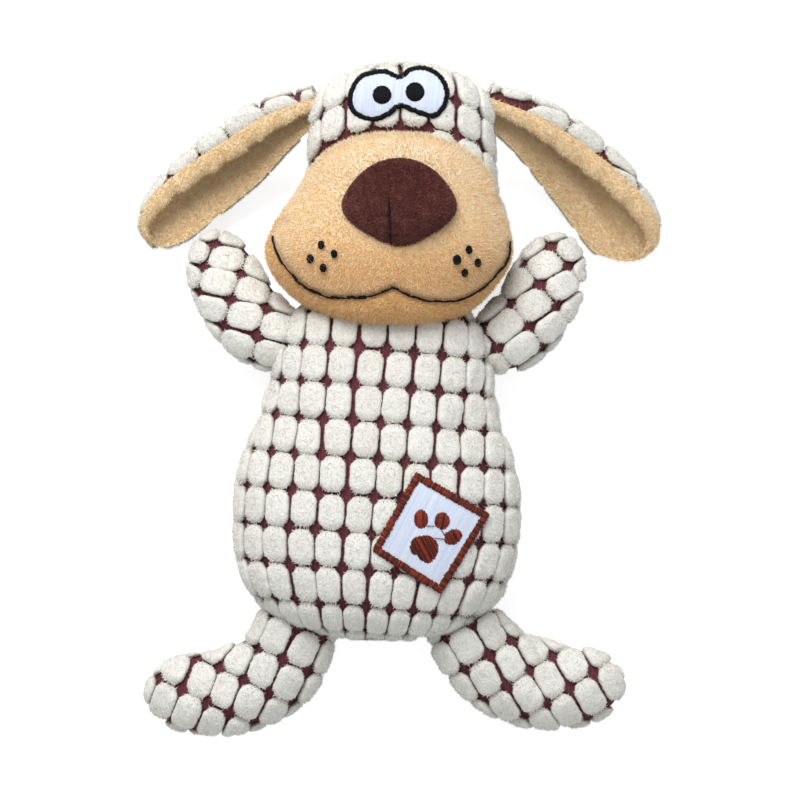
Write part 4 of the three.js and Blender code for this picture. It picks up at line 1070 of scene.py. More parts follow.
def teased(name, form, inset_by, floor=None, ceiling=None, cutters=()):
    """A lump of loose filling inside a form, cut to a level and by other objects."""
    grids = form.skins(18, 14, -inset_by)
    waves = np.array([(0.7, 0.25, 0.35), (-0.3, 0.8, 0.5), (0.4, -0.35, 0.9)])
    uneven = np.sin(grids @ waves.T + (0.4, 1.9, 3.1)).sum(-1) / 3
    rim = np.clip(np.abs(grids[..., 2] - form.route[0, 2]) / 8, 0, 1)
    grids[..., 2] += uneven * rim * 0.8
    if floor is not None:
        grids[1][..., 2] = floor
        grids[0][..., 2] = np.maximum(grids[0][..., 2], floor)
    if ceiling is not None:
        grids[0][..., 2] = ceiling
        grids[1][..., 2] = np.minimum(grids[1][..., 2], ceiling)
    lump, _, _ = sewn_bag(name + "_lump", grids)
    lump.data.materials.append(bpy.data.materials[FILLING])
    for cutter in cutters:
        cut = lump.modifiers.new("Cut", "BOOLEAN")
        cut.operation = "DIFFERENCE"
        cut.solver = "EXACT"
        cut.object = cutter
    made = baked(lump, name)
    made.data.shade_smooth()
    return made


def lathe(name, profile, middle, material, steps=72):
    """A round piece from a line of radius and height, closed through the axis or on itself."""
    turns = np.linspace(0, 2 * math.pi, steps + 1)[:-1]
    profile = np.asarray(profile, float)
    points = [(middle[0] + r * math.cos(t), middle[1] + r * math.sin(t), z)
              for r, z in profile for t in turns]
    index = np.arange(len(points)).reshape(len(profile), steps)
    for row in np.flatnonzero(profile[:, 0] < 1e-6):
        index[row] = index[row, 0]
    if profile[0, 0] > 1e-6:
        index = np.vstack([index, index[:1]])
    used, compact = np.unique(index, return_inverse=True)
    compact = compact.reshape(index.shape)
    compact = np.hstack([compact, compact[:, :1]])
    made = new_object(name, np.array(points)[used], grid_faces(compact))
    dress(made, material)
    return made


def buried(points, covers):
    """1 where a point lies inside another form, else 0. Covers pair a form with a depth."""
    return np.any([form.holds(points, depth) for form, depth in covers], 0).astype(float)


def uncovered(faces, points, covers):
    """The faces that don't lie wholly inside other forms."""
    deep = buried(points, covers)
    return [face for face in faces if min(deep[v] for v in face) < 0.5]


def tufted(name, grid, side, tuft_at, turn, seed, covers, bare_at=None, ease=None):
    """A panel of dimpled plush on a front or a back grid. Side is 1 for the front.

    No tufts stand where covers hide the cloth, or round a place that is bare. Ease changes the flat
    cloth in place, to draw its rows or columns together or bend them."""
    settings = bpy.context.scene.plush_dog
    pitch = tuple(settings.tuft_pitch)
    density = settings.front_density if side > 0 else settings.back_density
    sewn = grid if side > 0 else grid[:, ::-1]
    anchor = np.array([tuft_at[0] * side, tuft_at[1]])
    flat, seam_way = flat_pattern(sewn * (side, 1, 1), anchor)
    if ease:
        ease(flat)
    hidden = buried(sewn, covers)
    if bare_at is not None:
        bare = np.linalg.norm(sewn - bare_at, axis=-1) < BARE_RADIUS
        hidden = np.maximum(hidden, BARE * bare)
    cloth = cloth_object(name + "_cloth", flat, sewn, seam_way, hidden)
    reach = float(np.hypot(*np.abs(flat[..., :2] - anchor).reshape(-1, 2).max(0)))
    columns, rows = (2 * int(reach / size + 1) + 1 for size in pitch)
    use_tree(cloth, "Tufting", tuft=bpy.data.objects["tuft"], columns=columns, rows=rows,
             pitch_across=pitch[0] * MM, pitch_along=pitch[1] * MM,
             middle=(anchor[0] * MM, anchor[1] * MM, 0.0), turn=math.radians(turn * side),
             wander=0.5 * MM, fray=settings.fray * MM, edge=0.28 * pitch[0] * MM,
             height=settings.pile_height * MM, seed=seed,
             ground=bpy.data.materials[MAROON_GROUND], pile=bpy.data.materials[CREAM_PILE])
    use_tree(cloth, "Pile", density=density / MM**2, length=settings.fibre_length * MM,
             thickness=0.26 * MM, lean=0.6, seed=seed, lowest=0.5,
             material=bpy.data.materials[CREAM_PILE])
    return baked(cloth, name)


def short_pile(name, points, faces, material, seed, density, length, lean=0.6, lit=0.45, shorn=0.0):
    """A panel of short plush: its backing and its dense fibres. Lit is painted light and shade: it
    is stored as the backing's pile_height, low where the pile is painted darker and high where it
    is painted paler.
    """
    used = sorted({v for face in faces for v in face})
    number = {v: k for k, v in enumerate(used)}
    made = new_object(name + "_backing", points[used], [[number[v] for v in f] for f in faces])
    store(made, pile_height=np.broadcast_to(lit, len(points))[used],
          shorn=np.broadcast_to(shorn, len(points))[used])
    dress(made, material)
    use_tree(made, "Pile", density=density / MM**2, length=length * MM, thickness=0.2 * MM,
             lean=lean, seed=seed, lowest=0.05, material=bpy.data.materials[material])
    return baked(made, name)


def piece(made, body, nodes):
    if nodes:
        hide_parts(*nodes)
    if body:
        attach(made, body)
    triangles = sum(len(p.vertices) - 2 for p in made.data.polygons)
    print(made.name, "has", triangles, "triangles")


# Shapes that one operator leaves for the next: grids of the skins, in millimetres
SHAPES = {}


class DogSettings(bpy.types.PropertyGroup):
    tuft_pitch: FloatVectorProperty(name="Tuft pitch (mm)", size=2, default=(12.8, 17.1), min=4)
    pile_height: FloatProperty(name="Pile height (mm)", default=3.9, min=1)
    pile_sink: FloatProperty(name="Cloth below its outer surface (mm)", default=3.5, min=0)
    fibre_length: FloatProperty(name="Fibre length (mm)", default=1.4, min=0.2)
    front_density: FloatProperty(name="Fibres per sq mm, front", default=1.25, min=0)
    back_density: FloatProperty(name="Fibres per sq mm, back", default=0.5, min=0)
    short_density: FloatProperty(name="Short fibres per sq mm", default=3.0, min=0)
    fray: FloatProperty(name="Unevenness of the tufts (mm)", default=1.6, min=0)
    pressure: FloatProperty(name="Filling pressure", default=4.0, min=0)
    thread_gap: FloatProperty(name="Stitch spacing (mm)", default=0.45, min=0.2)


class PLUSHDOG_OT_supplies(bpy.types.Operator):
    """Lay out the materials, the tuft and the node trees that the pieces share"""
    bl_idname = "plush_dog.supplies"
    bl_label = "Supplies"

    def execute(self, context):
        settings = context.scene.plush_dog
        # In each pile the first colour is painted shade low in it; the last comes through random
        # patches and painted light where the pile is highest, and tints its sheen.
        pile_material(CREAM_PILE, "#6a4a46", "#ebe8de", "#fdfcf7", 0.14, 0.2)
        ground_material(MAROON_GROUND, "#4f2529", "#7d454d")
        pile_material(MUZZLE_PILE, "#e8b26c", "#ffe1b2", "#fff6e4", 0.1, 0.2)
        pile_material(CHIN_PILE, "#d0924a", "#fbd08f", "#ffe6be", 0.14, 0.15)
        pile_material(EAR_PILE, "#f0b068", "#ffe0ae", "#fff0d2", 0.08, 0.7)
        pile_material(NOSE_PILE, "#2b1413", "#7c4641", "#ad766d", 0.45, 0.15)
        filling_material(FILLING, "#d9d6cd", "#f7f5ef")
        blown_material(PLASTIC, "#c3cbcf", "#e6eaeb")
        thread_material(WHITE_THREAD, "#d6dff1", "#e4ebf8", 0.3)
        thread_material(BLACK_THREAD, "#020203", "#0b0b10", 0.15)
        thread_material(RUST_THREAD, "#3d0e06", "#9c3a20", 0.3)
        tuft_object("tuft", tuple(settings.tuft_pitch), settings.pile_height).hide_render = True
        tufting_tree()
        pile_tree()
        thread_tree()
        return {"FINISHED"}


class PLUSHDOG_OT_torso(bpy.types.Operator):
    """Sew and fill the pear-shaped torso"""
    bl_idname = "plush_dog.torso"
    bl_label = "Torso"

    def execute(self, context):
        sink = context.scene.plush_dog.pile_sink
        grids = sewn_form("torso", TORSO, sink, rows=28, columns=18, cap=3.0)
        SHAPES["torso"] = raised(grids[0], sink)
        covers, seat = ((HEAD, 5.0), (MUZZLE, 5.0)), grids[0][-1, 0]

        def gathered(flat):
            low = 1 - np.clip((flat[..., 1] - flat[-1, 0, 1]) / GATHERED_OVER - 0.1, 0, 1)
            flat[..., 0] += (flat[..., 0] - flat[-1, 0, 0]) * GATHERED * low**1.5

        front = tufted("torso_front_plush", grids[0], 1, at_pixel(397.9, 370.4), -4.4, 11, covers,
                       seat, gathered)
        back = tufted("torso_back_plush", grids[1], -1, at_pixel(400, 480), 0, 12, covers, seat)
        piece(front, "torso", ["body_front_panel"])
        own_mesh(front)
        piece(back, "torso", ["body_back_panel"])
        return {"FINISHED"}


class PLUSHDOG_OT_head(bpy.types.Operator):
    """Sew and fill the skull"""
    bl_idname = "plush_dog.head"
    bl_label = "Head"

    def execute(self, context):
        sink = context.scene.plush_dog.pile_sink
        grids = sewn_form("head", HEAD, sink, rows=20, columns=16, cap=2.5)
        SHAPES["head"] = raised(grids[0], sink)
        seen = pixels_of(SHAPES["head"])
        pressed = inside_outline(seen, EYE_OUTLINE) & (seen[..., 1] < EYES_PRESSED_ABOVE)
        grids[0] = grids[0] - grid_normals(grids[0]) * PRESSED_BY * pressed[..., None]
        covers = ((TORSO, 5.0), (MUZZLE, 3.5))
        tuft_at = at_pixel(332.5, 103.5)

        def domed(flat):
            aside = (flat[..., 0] - HEAD.route[0, 0]) / DOME_HALF_WIDTH
            flat[..., 1] -= DOME_RISE * np.maximum(1 - aside**2, -0.6)
            flat[..., 1] += (flat[..., 1] - tuft_at[1]) * DOME_STRETCH

        front = tufted("head_front_plush", grids[0], 1, tuft_at, 0, 21, covers, ease=domed)
        back = tufted("head_back_plush", grids[1], -1, at_pixel(400, 180), 0, 22, covers)
        piece(front, "head", ["head_front_panel"])
        piece(back, "head", ["head_back_panel"])
        return {"FINISHED"}


class PLUSHDOG_OT_limbs(bpy.types.Operator):
    """Sew and fill the arms and legs"""
    bl_idname = "plush_dog.limbs"
    bl_label = "Arms and legs"

    def execute(self, context):
        sink = context.scene.plush_dog.pile_sink
        covers = ((TORSO, 6.0), (MUZZLE, 4.0), (HEAD, 4.0))
        for number, (name, limb) in enumerate(LIMBS.items()):
            grids = sewn_form(name, limb_form(limb), sink, rows=16, columns=10, cap=2.0)
            for grid, side, word in ((grids[0], 1, "front"), (grids[1], -1, "back")):
                made = tufted(f"{name}_{word}_plush", grid, side, at_pixel(*limb["tuft_at"]),
                              limb["grain"] - 90, 31 + 2 * number + (side < 0), covers)
                piece(made, None, [f"{name}_{word}_panel"])
                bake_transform(made)
        return {"FINISHED"}


class PLUSHDOG_OT_muzzle(bpy.types.Operator):
    """Sew and fill the muzzle and the chin, and stitch the mouth and the whisker dots"""
    bl_idname = "plush_dog.muzzle"
    bl_label = "Muzzle"

    def execute(self, context):
        settings = context.scene.plush_dog
        grids = sewn_form("muzzle", MUZZLE, MUZZLE_SINK, rows=26, columns=26, cap=2.0, slack=0.02,
                          times=4)
        shares, drift = zip(*MUZZLE_DRIFT)
        for grid in grids:
            along = (MUZZLE.route[0, 1] - grid[..., 1]) / MUZZLE_LENGTH
            grid[..., 0] += np.interp(along, shares, drift)
        mouth = smooth_line(MOUTH_LINE, 6)
        crease = at_mouth(grids[0], mouth)
        grids[0] = grids[0] - grid_normals(grids[0]) * crease[..., None] * MOUTH_DEPTH
        skin = Skin([raised(grids[0], MUZZLE_PILE_HEIGHT)])
        points, faces = bag_mesh(grids)
        faces = uncovered(faces, points, ((HEAD, 5.0), (TORSO, 5.0)))
        middles = np.array([points[face].mean(0) for face in faces])
        seen = pixels_of(middles)
        below = inside_outline(seen, np.vstack([mouth, BELOW_MOUTH]))
        under = middles[:, 2] < SEAM_LEVEL + MUZZLE_LIFT - 4
        lower = below | (under & (seen[:, 1] > CHIN_ROW))
        row = pixels_of(points)[:, 1]
        rim = HEAD.holds(points, -5.5) & (row < RIM_ROW)
        # Painted light and shade: the upper muzzle is painted palest and its lower part darker,
        # towards the root colour, for light from the head's side.
        shaded = np.clip((row - SHADED_ROWS[0]) / (SHADED_ROWS[1] - SHADED_ROWS[0]), 0, 1)
        muzzle = short_pile("muzzle_plush", points, [f for f, low in zip(faces, lower) if not low],
                            MUZZLE_PILE, 41, settings.short_density, length=1.6, lean=0.55,
                            lit=0.95 - 0.65 * shaded, shorn=-1.0 * rim)
        chin = short_pile("chin_plush", points, [f for f, low in zip(faces, lower) if low],
                          CHIN_PILE, 42, settings.short_density * 0.9, length=2.4, lean=0.9)
        piece(muzzle, "head", ["muzzle_panel"])
        piece(chin, "head", ["chin_panel"])
        stitched_line("mouth_stitch", skin, mouth[MOUTH_STITCHED_FROM:], 43, thick=1.0, stitch=2.6,
                      radius=0.28)
        for number, (x, y, radius) in enumerate(WHISKERS, 1):
            ring = oval(on_skin(skin, [(x, y)])[0], radius, 1.25 * radius, steps=24)
            stitches = satin_fill(ring, 80 + 17 * number, 0.38)
            dot = embroidered(f"whisker_dot_{number}_stitch", stitches, skin.bowl(ring),
                              BLACK_THREAD, 50 + number, lift=0.3, arch=0.5, radius=0.24)
            piece(dot, "head", [f"whisker_dot_{number}"])
        return {"FINISHED"}


def bag_mesh(grids):
    """Points and faces of a front and a back grid."""
    points = np.vstack([grid.reshape(-1, 3) for grid in grids])
    return points, bag_faces(np.arange(len(points)).reshape(2, *grids[0].shape[:2]))


def at_mouth(grid, mouth):
    """How near each point lies to the mouth's line, from 1 on it to 0 well away from it."""
    seen = pixels_of(grid) * PIXEL
    nearest = np.full(grid.shape[:2], np.inf)
    for a, b in zip(mouth[:-1] * PIXEL, mouth[1:] * PIXEL):
        way = b - a
        share = np.clip(((seen - a) @ way) / (way @ way), 0, 1)
        nearest = np.minimum(nearest, np.linalg.norm(seen - a - share[..., None] * way, axis=2))
    high = np.clip((grid[..., 2] - SEAM_LEVEL - MOUTH_FADE) / MOUTH_FADE, 0, 1)
    return np.exp(-((nearest / MOUTH_WIDTH) ** 2)) * high


def stitched_line(name, skin, pixels, seed, thick, stitch, radius):
    """Black stitches end to end along a line of the photograph."""
    places = on_skin(skin, pixels)
    count = int(lengths_along(places)[-1] / stitch)
    marks = evenly(places, count * 2 + 1)
    rng = np.random.default_rng(seed)
    stitches = []
    for a, b in zip(marks[:-2:2], marks[2::2]):
        for _ in range(4):
            side = rng.normal(0, thick / 4, 2)
            stitches.append((a + (a - b) * 0.12 + side, b + (b - a) * 0.12 + side))
    made = embroidered(name + "_thread", stitches,
                       lambda at: np.array([skin.height(*p) for p in np.atleast_2d(at)]),
                       BLACK_THREAD, seed, lift=0.1, arch=0.45, radius=radius, steps=6)
    piece(made, "head", [name])


class PLUSHDOG_OT_nose(bpy.types.Operator):
    """Sew and fill the nose and stitch its centre line"""
    bl_idname = "plush_dog.nose"
    bl_label = "Nose"

    def execute(self, context):
        grids = sewn_form("nose", NOSE, NOSE_SINK, rows=14, columns=16, cap=1.2, times=4)
        aside = grids[0][..., 0] - at_pixel(*NOSE_LINE[1])[0]
        grids[0][..., 2] -= 0.9 * np.exp(-((aside / 1.1) ** 2))
        points, faces = bag_mesh(grids)
        # Painted shade: the nose's pile is painted darker towards its top.
        down = (NOSE.route[0, 1] - points[:, 1]) / NOSE.length
        nose = short_pile("nose_plush", points, uncovered(faces, points, ((MUZZLE, 3.5),)),
                          NOSE_PILE, 61, density=5.0, length=1.1,
                          lit=0.26 + 0.2 * np.clip(down / 0.7, 0, 1))
        piece(nose, "head", ["nose_cover"])
        skin = Skin([raised(grids[0], NOSE_PILE_HEIGHT)])
        stitched_line("nose_centre_stitch", skin, np.array(NOSE_LINE), 62, thick=0.5, stitch=2.0,
                      radius=0.2)
        return {"FINISHED"}


def patch_sheet(name, outline, height_at, material, lift, thick):
    """A flat piece of backing cloth under embroidery, cut to an outline."""
    middle = outline.mean(0)
    rings = [middle + (outline - middle) * s for s in (1.0, 1.0, 0.97, 0.75, 0.5, 0.25)]
    lifts = [-thick, lift - 0.3, lift, lift, lift, lift]
    points = np.vstack([np.column_stack([ring, height_at(ring) + rise])
                        for ring, rise in zip(rings, lifts)] +
                       [np.append(middle, height_at(middle)[0] + lift)])
    count = len(outline)
    index = np.arange(len(rings) * count).reshape(len(rings), count)
    index = np.hstack([index, index[:, :1]])
    faces = grid_faces(index)
    last = len(points) - 1
    faces += [(int(index[-1, k]), last, int(index[-1, k + 1])) for k in range(count)]
    if signed_area(outline) > 0:
        faces = [tuple(face)[::-1] for face in faces]
    made = new_object(name, points, faces)
    dress(made, material)
    return made


def joined(name, *parts):
    """One object from several, with their materials kept."""
    bpy.ops.object.select_all(action="DESELECT")
    for part in parts:
        part.select_set(True)
    bpy.context.view_layer.objects.active = parts[0]
    bpy.ops.object.join()
    parts[0].name = parts[0].data.name = name
    return parts[0]


class PLUSHDOG_OT_eyes(bpy.types.Operator):
    """Embroider the eyes on their white patch"""
    bl_idname = "plush_dog.eyes"
    bl_label = "Eyes"

    def execute(self, context):
        gap = context.scene.plush_dog.thread_gap
        skin = Skin([SHAPES["head"]])
        outer = closed_line(on_skin(skin, EYE_OUTLINE), 240)
        height_at = skin.bowl(outer)
        backing = patch_sheet("eye_backing", inset(outer, 0.9), height_at, WHITE_THREAD, lift=0.9,
                              thick=2.9)
        white = embroidered("eye_white", satin_fill(inset(outer, 1.6), 84, gap), height_at,
                            WHITE_THREAD, 71, lift=0.8, arch=0.1, radius=0.3, steps=14)
        piece(joined("eye_patch_satin", backing, white), "head", ["eye_patch"])
        rim = embroidered("eye_outline_satin", satin_band(outer, 2.1, gap * 0.8), height_at,
                          BLACK_THREAD, 72, lift=0.9, arch=0.75, radius=0.27, ragged=0.16)
        piece(rim, "head", ["eye_outline"])
        for (x, y, rx, ry), name in zip(PUPILS, ("pupil_left", "pupil_right")):
            ring = oval(seen_at([(x, y)], height_at(outer.mean(0))[0])[0], rx, ry)
            pupil = embroidered(name + "_satin", satin_fill(ring, 86, gap * 0.85), height_at,
                                BLACK_THREAD, 73, lift=1.2, arch=0.6, radius=0.27)
            piece(pupil, "head", [name])
        knot = on_skin(skin, EYE_KNOT)
        ends = [(knot[0] + (-0.3 + 0.3 * k, 0), knot[1] + (-0.4 + 0.4 * k, 0)) for k in range(3)]
        tie = embroidered("eye_knot_thread", ends, height_at, BLACK_THREAD, 74, lift=1.2, arch=0.5,
                          radius=0.25)
        piece(tie, "head", [])
        return {"FINISHED"}


class PLUSHDOG_OT_patch(bpy.types.Operator):
    """Embroider the belly patch with its border and paw"""
    bl_idname = "plush_dog.patch"
    bl_label = "Belly patch"

    def execute(self, context):
        gap = context.scene.plush_dog.thread_gap
        skin = Skin([SHAPES["torso"]])
        corners = on_skin(skin, PATCH_CORNERS)
        sides = []
        for k in range(4):
            a, b, c = corners[k - 1], corners[k], corners[(k + 1) % 4]
            start, end = b + unit(a - b) * 1.4, b + unit(c - b) * 1.4
            sides += [start, b * 0.7 + (start + end) * 0.15, end, (end + c + unit(b - c) * 1.4) / 2]
        outer = evenly(np.array(sides + sides[:1]), 241)[:-1]
        height_at = skin.bowl(outer)
        backing = patch_sheet("patch_backing", inset(outer, 1.2), height_at, WHITE_THREAD, lift=1.2,
                              thick=3.0)
        white = embroidered("patch_white", satin_fill(inset(outer, 2.6), 62, gap), height_at,
                            WHITE_THREAD, 81, lift=1.1, arch=0.1, radius=0.3, steps=10)
        field = joined("belly_patch_satin", backing, white)
        border = embroidered("patch_border_satin", satin_band(outer, 3.2, gap * 0.85), height_at,
                             RUST_THREAD, 82, lift=1.2, arch=0.9, radius=0.28, ragged=0.22)
        made = [(field, "belly_patch", "satin_white"), (border, "patch_border", "satin_rust")]
        level = height_at(outer.mean(0))[0]
        shapes = [("paw_pad", closed_line(seen_at(PAW_PAD, level), 120), 118)]
        for number, (x, y, long, wide, turn) in enumerate(TOES, 1):
            toe = oval(seen_at([(x, y)], level)[0], long, wide, turn)
            shapes.append((f"paw_toe_{number}", toe, turn + 90))
        for number, (name, outline, turn) in enumerate(shapes):
            part = embroidered(name + "_satin", satin_fill(outline, turn, gap * 0.9), height_at,
                               RUST_THREAD, 83 + number, lift=1.45, arch=0.5, radius=0.27,
                               ragged=0.2)
            made.append((part, name, "satin_rust"))
        jumps = [tuple(seen_at(pair, level)) for pair in JUMP_THREADS]
        jump = embroidered("paw_jump_threads", jumps, height_at, RUST_THREAD, 89, lift=1.6,
                           arch=0.4, radius=0.2)
        made.append((jump, None, "satin_rust"))
        for part, node, slot in made:
            piece(part, "torso", [node] if node else [])
            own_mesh(part)
        return {"FINISHED"}


class PLUSHDOG_OT_ears(bpy.types.Operator):
    """Sew the ears of two layers and curl them along their upper edge"""
    bl_idname = "plush_dog.ears"
    bl_label = "Ears"

    def execute(self, context):
        settings = context.scene.plush_dog
        for number, (name, ear) in enumerate(EARS.items()):
            outer = ear_sheet(ear, EAR_LAYERS_APART / 2, rows=46, columns=30)
            lining = ear_sheet(ear, -EAR_LAYERS_APART / 2, rows=60, columns=52)
            far, wide = np.meshgrid(np.sin(np.linspace(0, math.pi / 2, lining.shape[0])),
                                    np.linspace(0, 1, lining.shape[1]), indexing="ij")
            # Painted shade: the lining is painted darker along a band down its middle, in its
            # groove, fading towards the tip.
            channel_shade = np.exp(-((wide - 0.45) / 0.14) ** 2) * (1 - far**2)
            edge = np.clip(1 - wide * 12, 0, 1) + np.clip(far * 20 - 19, 0, 1)
            if ear["side"] > 0:
                outer = outer[:, ::-1]
            else:
                lining, channel_shade, edge = lining[:, ::-1], channel_shade[:, ::-1], edge[:, ::-1]
            made = tufted(name + "_outer_plush", outer, 1, at_pixel(*ear["tuft_at"]),
                          ear["grain"] - 90, 91 + number, ((HEAD, 4.0), (MUZZLE, 3.0)))
            piece(made, name, [name + "_outer"])
            points = lining.reshape(-1, 3)
            faces = grid_faces(np.arange(len(points)).reshape(lining.shape[:2]))
            made = short_pile(name + "_lining_plush", points,
                              uncovered(faces, points, ((HEAD, 4.0),)), EAR_PILE, 93 + number,
                              settings.short_density * 1.1, length=1.8, lean=1.0,
                              lit=0.9 - 0.7 * channel_shade.ravel(), shorn=-0.4 * edge.ravel())
            piece(made, name, [name + "_lining"])
        return {"FINISHED"}


def ear_sheet(ear, distance, rows, columns):
    """One layer of an ear, from its root to its tip and from its lower to its upper edge."""
    root = np.array([HEAD.route[0, 0] + ear["side"] * 0.72 * HEAD_HALF_WIDTH,
                     HEAD.route[0, 1] - 0.2 * HEAD_LENGTH])
    drop = SEAM_LEVEL - EAR_THICK - FLOOR_GAP
    points = [(root[0] + x * EAR_LENGTH, root[1] + y * EAR_LENGTH, SEAM_LEVEL - level * drop)
              for x, y, level in ear["route"]]
    route = evenly(smooth_line(points, 30), 400)
    heading = unit(np.gradient(route, axis=0))
    widths = smooth_line(ear["widths"], 12, 0.0)
    grid = []
    for along in np.sin(np.linspace(0, math.pi / 2, rows + 1)):
        wide = np.interp(along, widths[:, 0], widths[:, 1]) * EAR_HALF_WIDTH
        curl = np.array(EAR_CURLED) * (1 - along**2) + np.array(EAR_OPEN) * along**2
        if distance < 0:
            lip = np.array(LIP_CURLED) * (1 - along**2) + np.array(LIP_OPEN) * along**2
            pucker = 0.5 * math.sin(along * 46) + 0.3 * math.sin(along * 77 + 1)
            lip[1:4] += (-ear["lip"] * 0.4 * pucker, ear["lip"] * 0.3 * pucker)
            curl = np.vstack([curl, lip])
        line = evenly(smooth_line(curl, 10), columns + 1) * wide
        share = np.linspace(0, 1, columns + 1)
        if distance < 0:
            fade = wide * math.sin(math.pi * min(along * 1.02, 1)) ** 0.7
            line[:, 1] += ear["ridge"] * fade * np.exp(-((share - 0.2) / 0.07) ** 2) * along
        way = unit(np.gradient(line, axis=0))
        rim = np.clip(np.minimum(share, 1 - share) * 12, 0, 1) ** 0.5
        line = line + np.stack([way[:, 1], -way[:, 0]], 1) * (distance * rim)[:, None]
        k = along * 399
        place = np.array([np.interp(k, np.arange(400), route[:, j]) for j in range(3)])
        ahead = np.array([np.interp(k, np.arange(400), heading[:, j]) for j in range(3)])
        upper = unit(np.array([-ahead[1], ahead[0], 0])) * ear["side"]
        raise_by = EAR_RISE * max(1 - along / EAR_RISE_UNTIL, 0)
        grid.append(place + upper * (line[:, :1] + raise_by) + UP * line[:, 1:])
    return np.array(grid)


class PLUSHDOG_OT_fillings(bpy.types.Operator):
    """Tease the loose fibre filling into each part, with a pocket for the squeaker"""
    bl_idname = "plush_dog.fillings"
    bl_label = "Fillings"

    def execute(self, context):
        cutters = {word: sewn_bag(word + "_cutter", form.skins(18, 14, grow))[0]
                   for word, form, grow in (("torso", TORSO, 1), ("head", HEAD, 1),
                                            ("muzzle", MUZZLE, 0.8))}
        place = on_torso(0, SQUEAKER_ALONG)
        radius, low = SQUEAKER_RADIUS + SQUEAKER_FOLD + 1, SQUEAKER_LEVELS[0] - FILLING_GAP
        cutters["pocket"] = lathe("pocket_cutter", [(0, low), (radius, low), (radius, 60), (0, 60)],
                                  place, FILLING)
        level = SEAM_LEVEL + FILLING_GAP / 2
        for name, form, inset_by, floor, ceiling, cut_by, body, node in (
                ("torso_front_filling", TORSO, 7.0, level, None, (), "torso",
                 "body_stuffing_front"),
                ("torso_rear_filling", TORSO, 6.0, None, level - FILLING_GAP, ("pocket",), "torso",
                 "body_stuffing_back"),
                ("head_filling", HEAD, 6.0, None, None, ("torso",), "head", "head_stuffing"),
                ("muzzle_filling", MUZZLE, 5.0, None, None, ("head", "torso"), "head",
                 "muzzle_stuffing"),
                ("nose_filling", NOSE, 2.8, None, None, ("muzzle",), "head", "nose_stuffing")):
            made = teased(name, form, inset_by, floor, ceiling, [cutters[word] for word in cut_by])
            piece(made, body, [node])
            if name == "torso_front_filling":
                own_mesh(made)
        for name, limb in LIMBS.items():
            cut_by = ("torso", "head", "muzzle") if limb["kind"] == "arm" else ("torso",)
            made = teased(name + "_filling", limb_form(limb), 6.0,
                          cutters=[cutters[word] for word in cut_by])
            piece(made, None, [name + "_stuffing"])
            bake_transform(made)
        remove(*cutters.values())
        return {"FINISHED"}


class PLUSHDOG_OT_squeaker(bpy.types.Operator):
    """Blow the bellows of the squeaker, and close it with its base plate and its reed's lid"""
    bl_idname = "plush_dog.squeaker"
    bl_label = "Squeaker"

    def execute(self, context):
        place = on_torso(0, SQUEAKER_ALONG)
        base, low, high, top = SQUEAKER_LEVELS
        marks = np.linspace(0, 1, 8 * SQUEAKER_FOLDS + 1)
        bulge = SQUEAKER_FOLD * (0.5 - 0.5 * np.cos(2 * math.pi * SQUEAKER_FOLDS * marks))
        outer = np.stack([SQUEAKER_RADIUS + bulge, low + marks * (high - low)], 1)
        inner = (outer - (SQUEAKER_WALL, 0))[::-1]
        bellows = lathe("squeaker_bellows_blown", np.vstack([outer, inner]), place, PLASTIC)
        piece(bellows, "torso", ["squeaker_bellows"])
        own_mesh(bellows)
        thick, r = SQUEAKER_PLATE, SQUEAKER_RADIUS
        floor = lathe("squeaker_base_plate", [
            (0, base), (r - 0.5, base), (r, base + 0.4), (r, base + thick - 0.4),
            (r - 0.5, base + thick), (5, base + thick), (4.5, base + thick - 0.4),
            (0, base + thick - 0.4)], place, PLASTIC)
        piece(floor, "torso", ["squeaker_base"])
        lid = lathe("squeaker_reed_lid", [
            (3, top), (r - 0.5, top), (r, top + 0.4), (r, top + thick - 0.4),
            (r - 0.5, top + thick), (5.5, top + thick), (4.6, top + thick - 0.35),
            (3, top + thick - 0.35)], place, PLASTIC)
        piece(lid, "squeaker_top", ["squeaker_lid"])
        return {"FINISHED"}


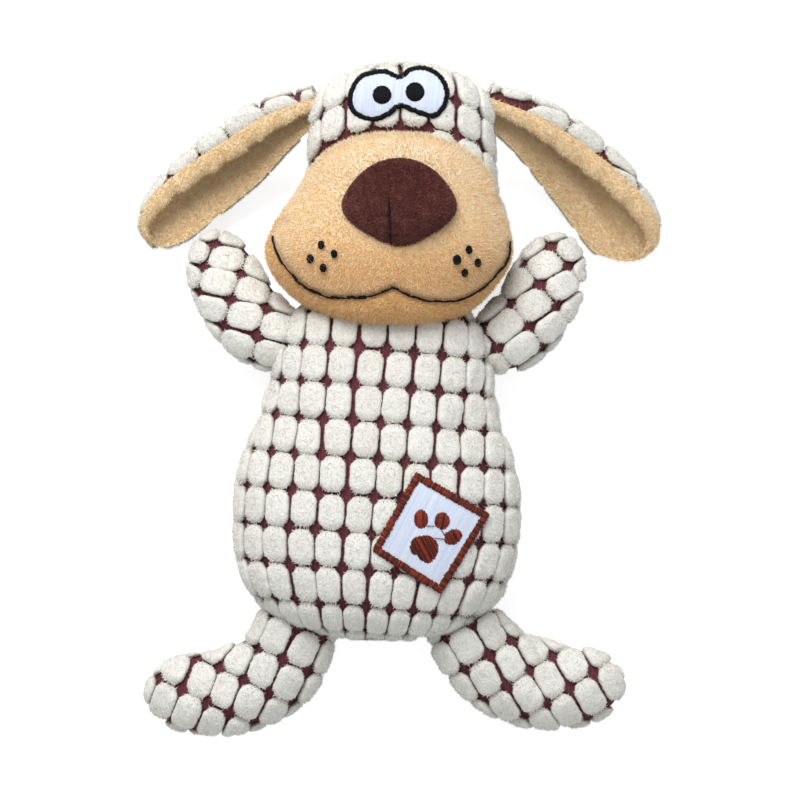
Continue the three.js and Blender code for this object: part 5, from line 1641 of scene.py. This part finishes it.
class PLUSHDOG_OT_stage(bpy.types.Operator):
    """Set up the camera, the lights and the floor"""
    bl_idname = "plush_dog.stage"
    bl_label = "Stage"

    def execute(self, context):
        scene = context.scene
        data = bpy.data.cameras.new("camera")
        data.sensor_width = 36
        data.lens = data.sensor_width * (CAMERA_HEIGHT - SHARP_LEVEL) / (PHOTO_PIXELS * PIXEL)
        data.clip_end = 20
        camera = bpy.data.objects.new("camera", data)
        camera.location = (*(CENTRE * MM), CAMERA_HEIGHT * MM)
        scene.collection.objects.link(camera)
        scene.camera = camera
        scene.view_settings.view_transform = "Standard"
        scene.world = bpy.data.worlds.new("white room")
        scene.world.use_nodes = True
        scene.world.node_tree.nodes.clear()
        node = partial(add, scene.world.node_tree)
        path = node("ShaderNodeLightPath").outputs
        node("ShaderNodeOutputWorld", {"Surface": node("ShaderNodeMixShader", {
            0: node("ShaderNodeMath", {0: path["Is Camera Ray"], 1: path["Is Glossy Ray"]},
                    operation="MAXIMUM"),
            1: node("ShaderNodeBackground", {"Color": (0.93, 0.96, 1, 1), "Strength": 0.48}),
            2: node("ShaderNodeBackground", {"Color": (1, 1, 1, 1), "Strength": 1.0})})})
        for name, place, size, power, tint in (
                ("softbox above the head", (-0.35, 1.2, 1.3), 1.0, 26.5, (1, 0.99, 0.97)),
                ("fill from the feet", (0.5, -1.3, 1.3), 1.4, 3.0, (1, 1, 1))):
            light = bpy.data.lights.new(name, "AREA")
            light.size, light.energy, light.color = size, power, tint
            lamp = bpy.data.objects.new(name, light)
            lamp.location = place
            aim = Vector((0, 0, SHARP_LEVEL * MM)) - Vector(place)
            lamp.rotation_euler = aim.to_track_quat("-Z", "Y").to_euler()
            scene.collection.objects.link(lamp)
        node, _ = material_tree(TABLE)
        # It is whiter to the camera than to the light that it bounces, as an overexposed sweep is
        glow = node("ShaderNodeEmission", {"Color": (1, 1, 1, 1), "Strength": 0.72})
        bounce = node("ShaderNodeBsdfDiffuse", {"Color": (0.8, 0.8, 0.8, 1)})
        node("ShaderNodeOutputMaterial", {"Surface": node("ShaderNodeMixShader", {
            0: node("ShaderNodeLightPath").outputs["Is Camera Ray"], 1: bounce,
            2: node("ShaderNodeAddShader", {0: glow, 1: bounce})})})
        floor = new_object("floor", [(-3000, -3000, 0), (3000, -3000, 0), (3000, 3000, 0),
                                     (-3000, 3000, 0)], [(0, 1, 2, 3)])
        floor.data.materials.append(bpy.data.materials[TABLE])
        return {"FINISHED"}


class PLUSHDOG_PT_panel(bpy.types.Panel):
    bl_idname = "PLUSHDOG_PT_panel"
    bl_label = "Plush Dog"
    bl_space_type = "VIEW_3D"
    bl_region_type = "UI"
    bl_category = "Plush Dog"

    def draw(self, context):
        layout = self.layout
        settings = context.scene.plush_dog
        for key in DogSettings.__annotations__:
            layout.prop(settings, key)
        for step in STEPS:
            layout.operator(step.bl_idname)


STEPS = (PLUSHDOG_OT_stage, PLUSHDOG_OT_supplies, PLUSHDOG_OT_torso, PLUSHDOG_OT_head,
         PLUSHDOG_OT_limbs, PLUSHDOG_OT_muzzle, PLUSHDOG_OT_nose, PLUSHDOG_OT_eyes,
         PLUSHDOG_OT_patch, PLUSHDOG_OT_ears, PLUSHDOG_OT_fillings, PLUSHDOG_OT_squeaker)
CLASSES = (DogSettings,) + STEPS + (PLUSHDOG_PT_panel,)


def register():
    for one in CLASSES:
        bpy.utils.register_class(one)
    bpy.types.Scene.plush_dog = PointerProperty(type=DogSettings)


def unregister():
    del bpy.types.Scene.plush_dog
    for one in reversed(CLASSES):
        bpy.utils.unregister_class(one)


def main():
    register()
    for step in STEPS:
        group, name = step.bl_idname.split(".")
        if getattr(getattr(bpy.ops, group), name)() != {"FINISHED"}:
            raise RuntimeError(step.bl_label + " did not finish")


if __name__ == "__main__":
    main()
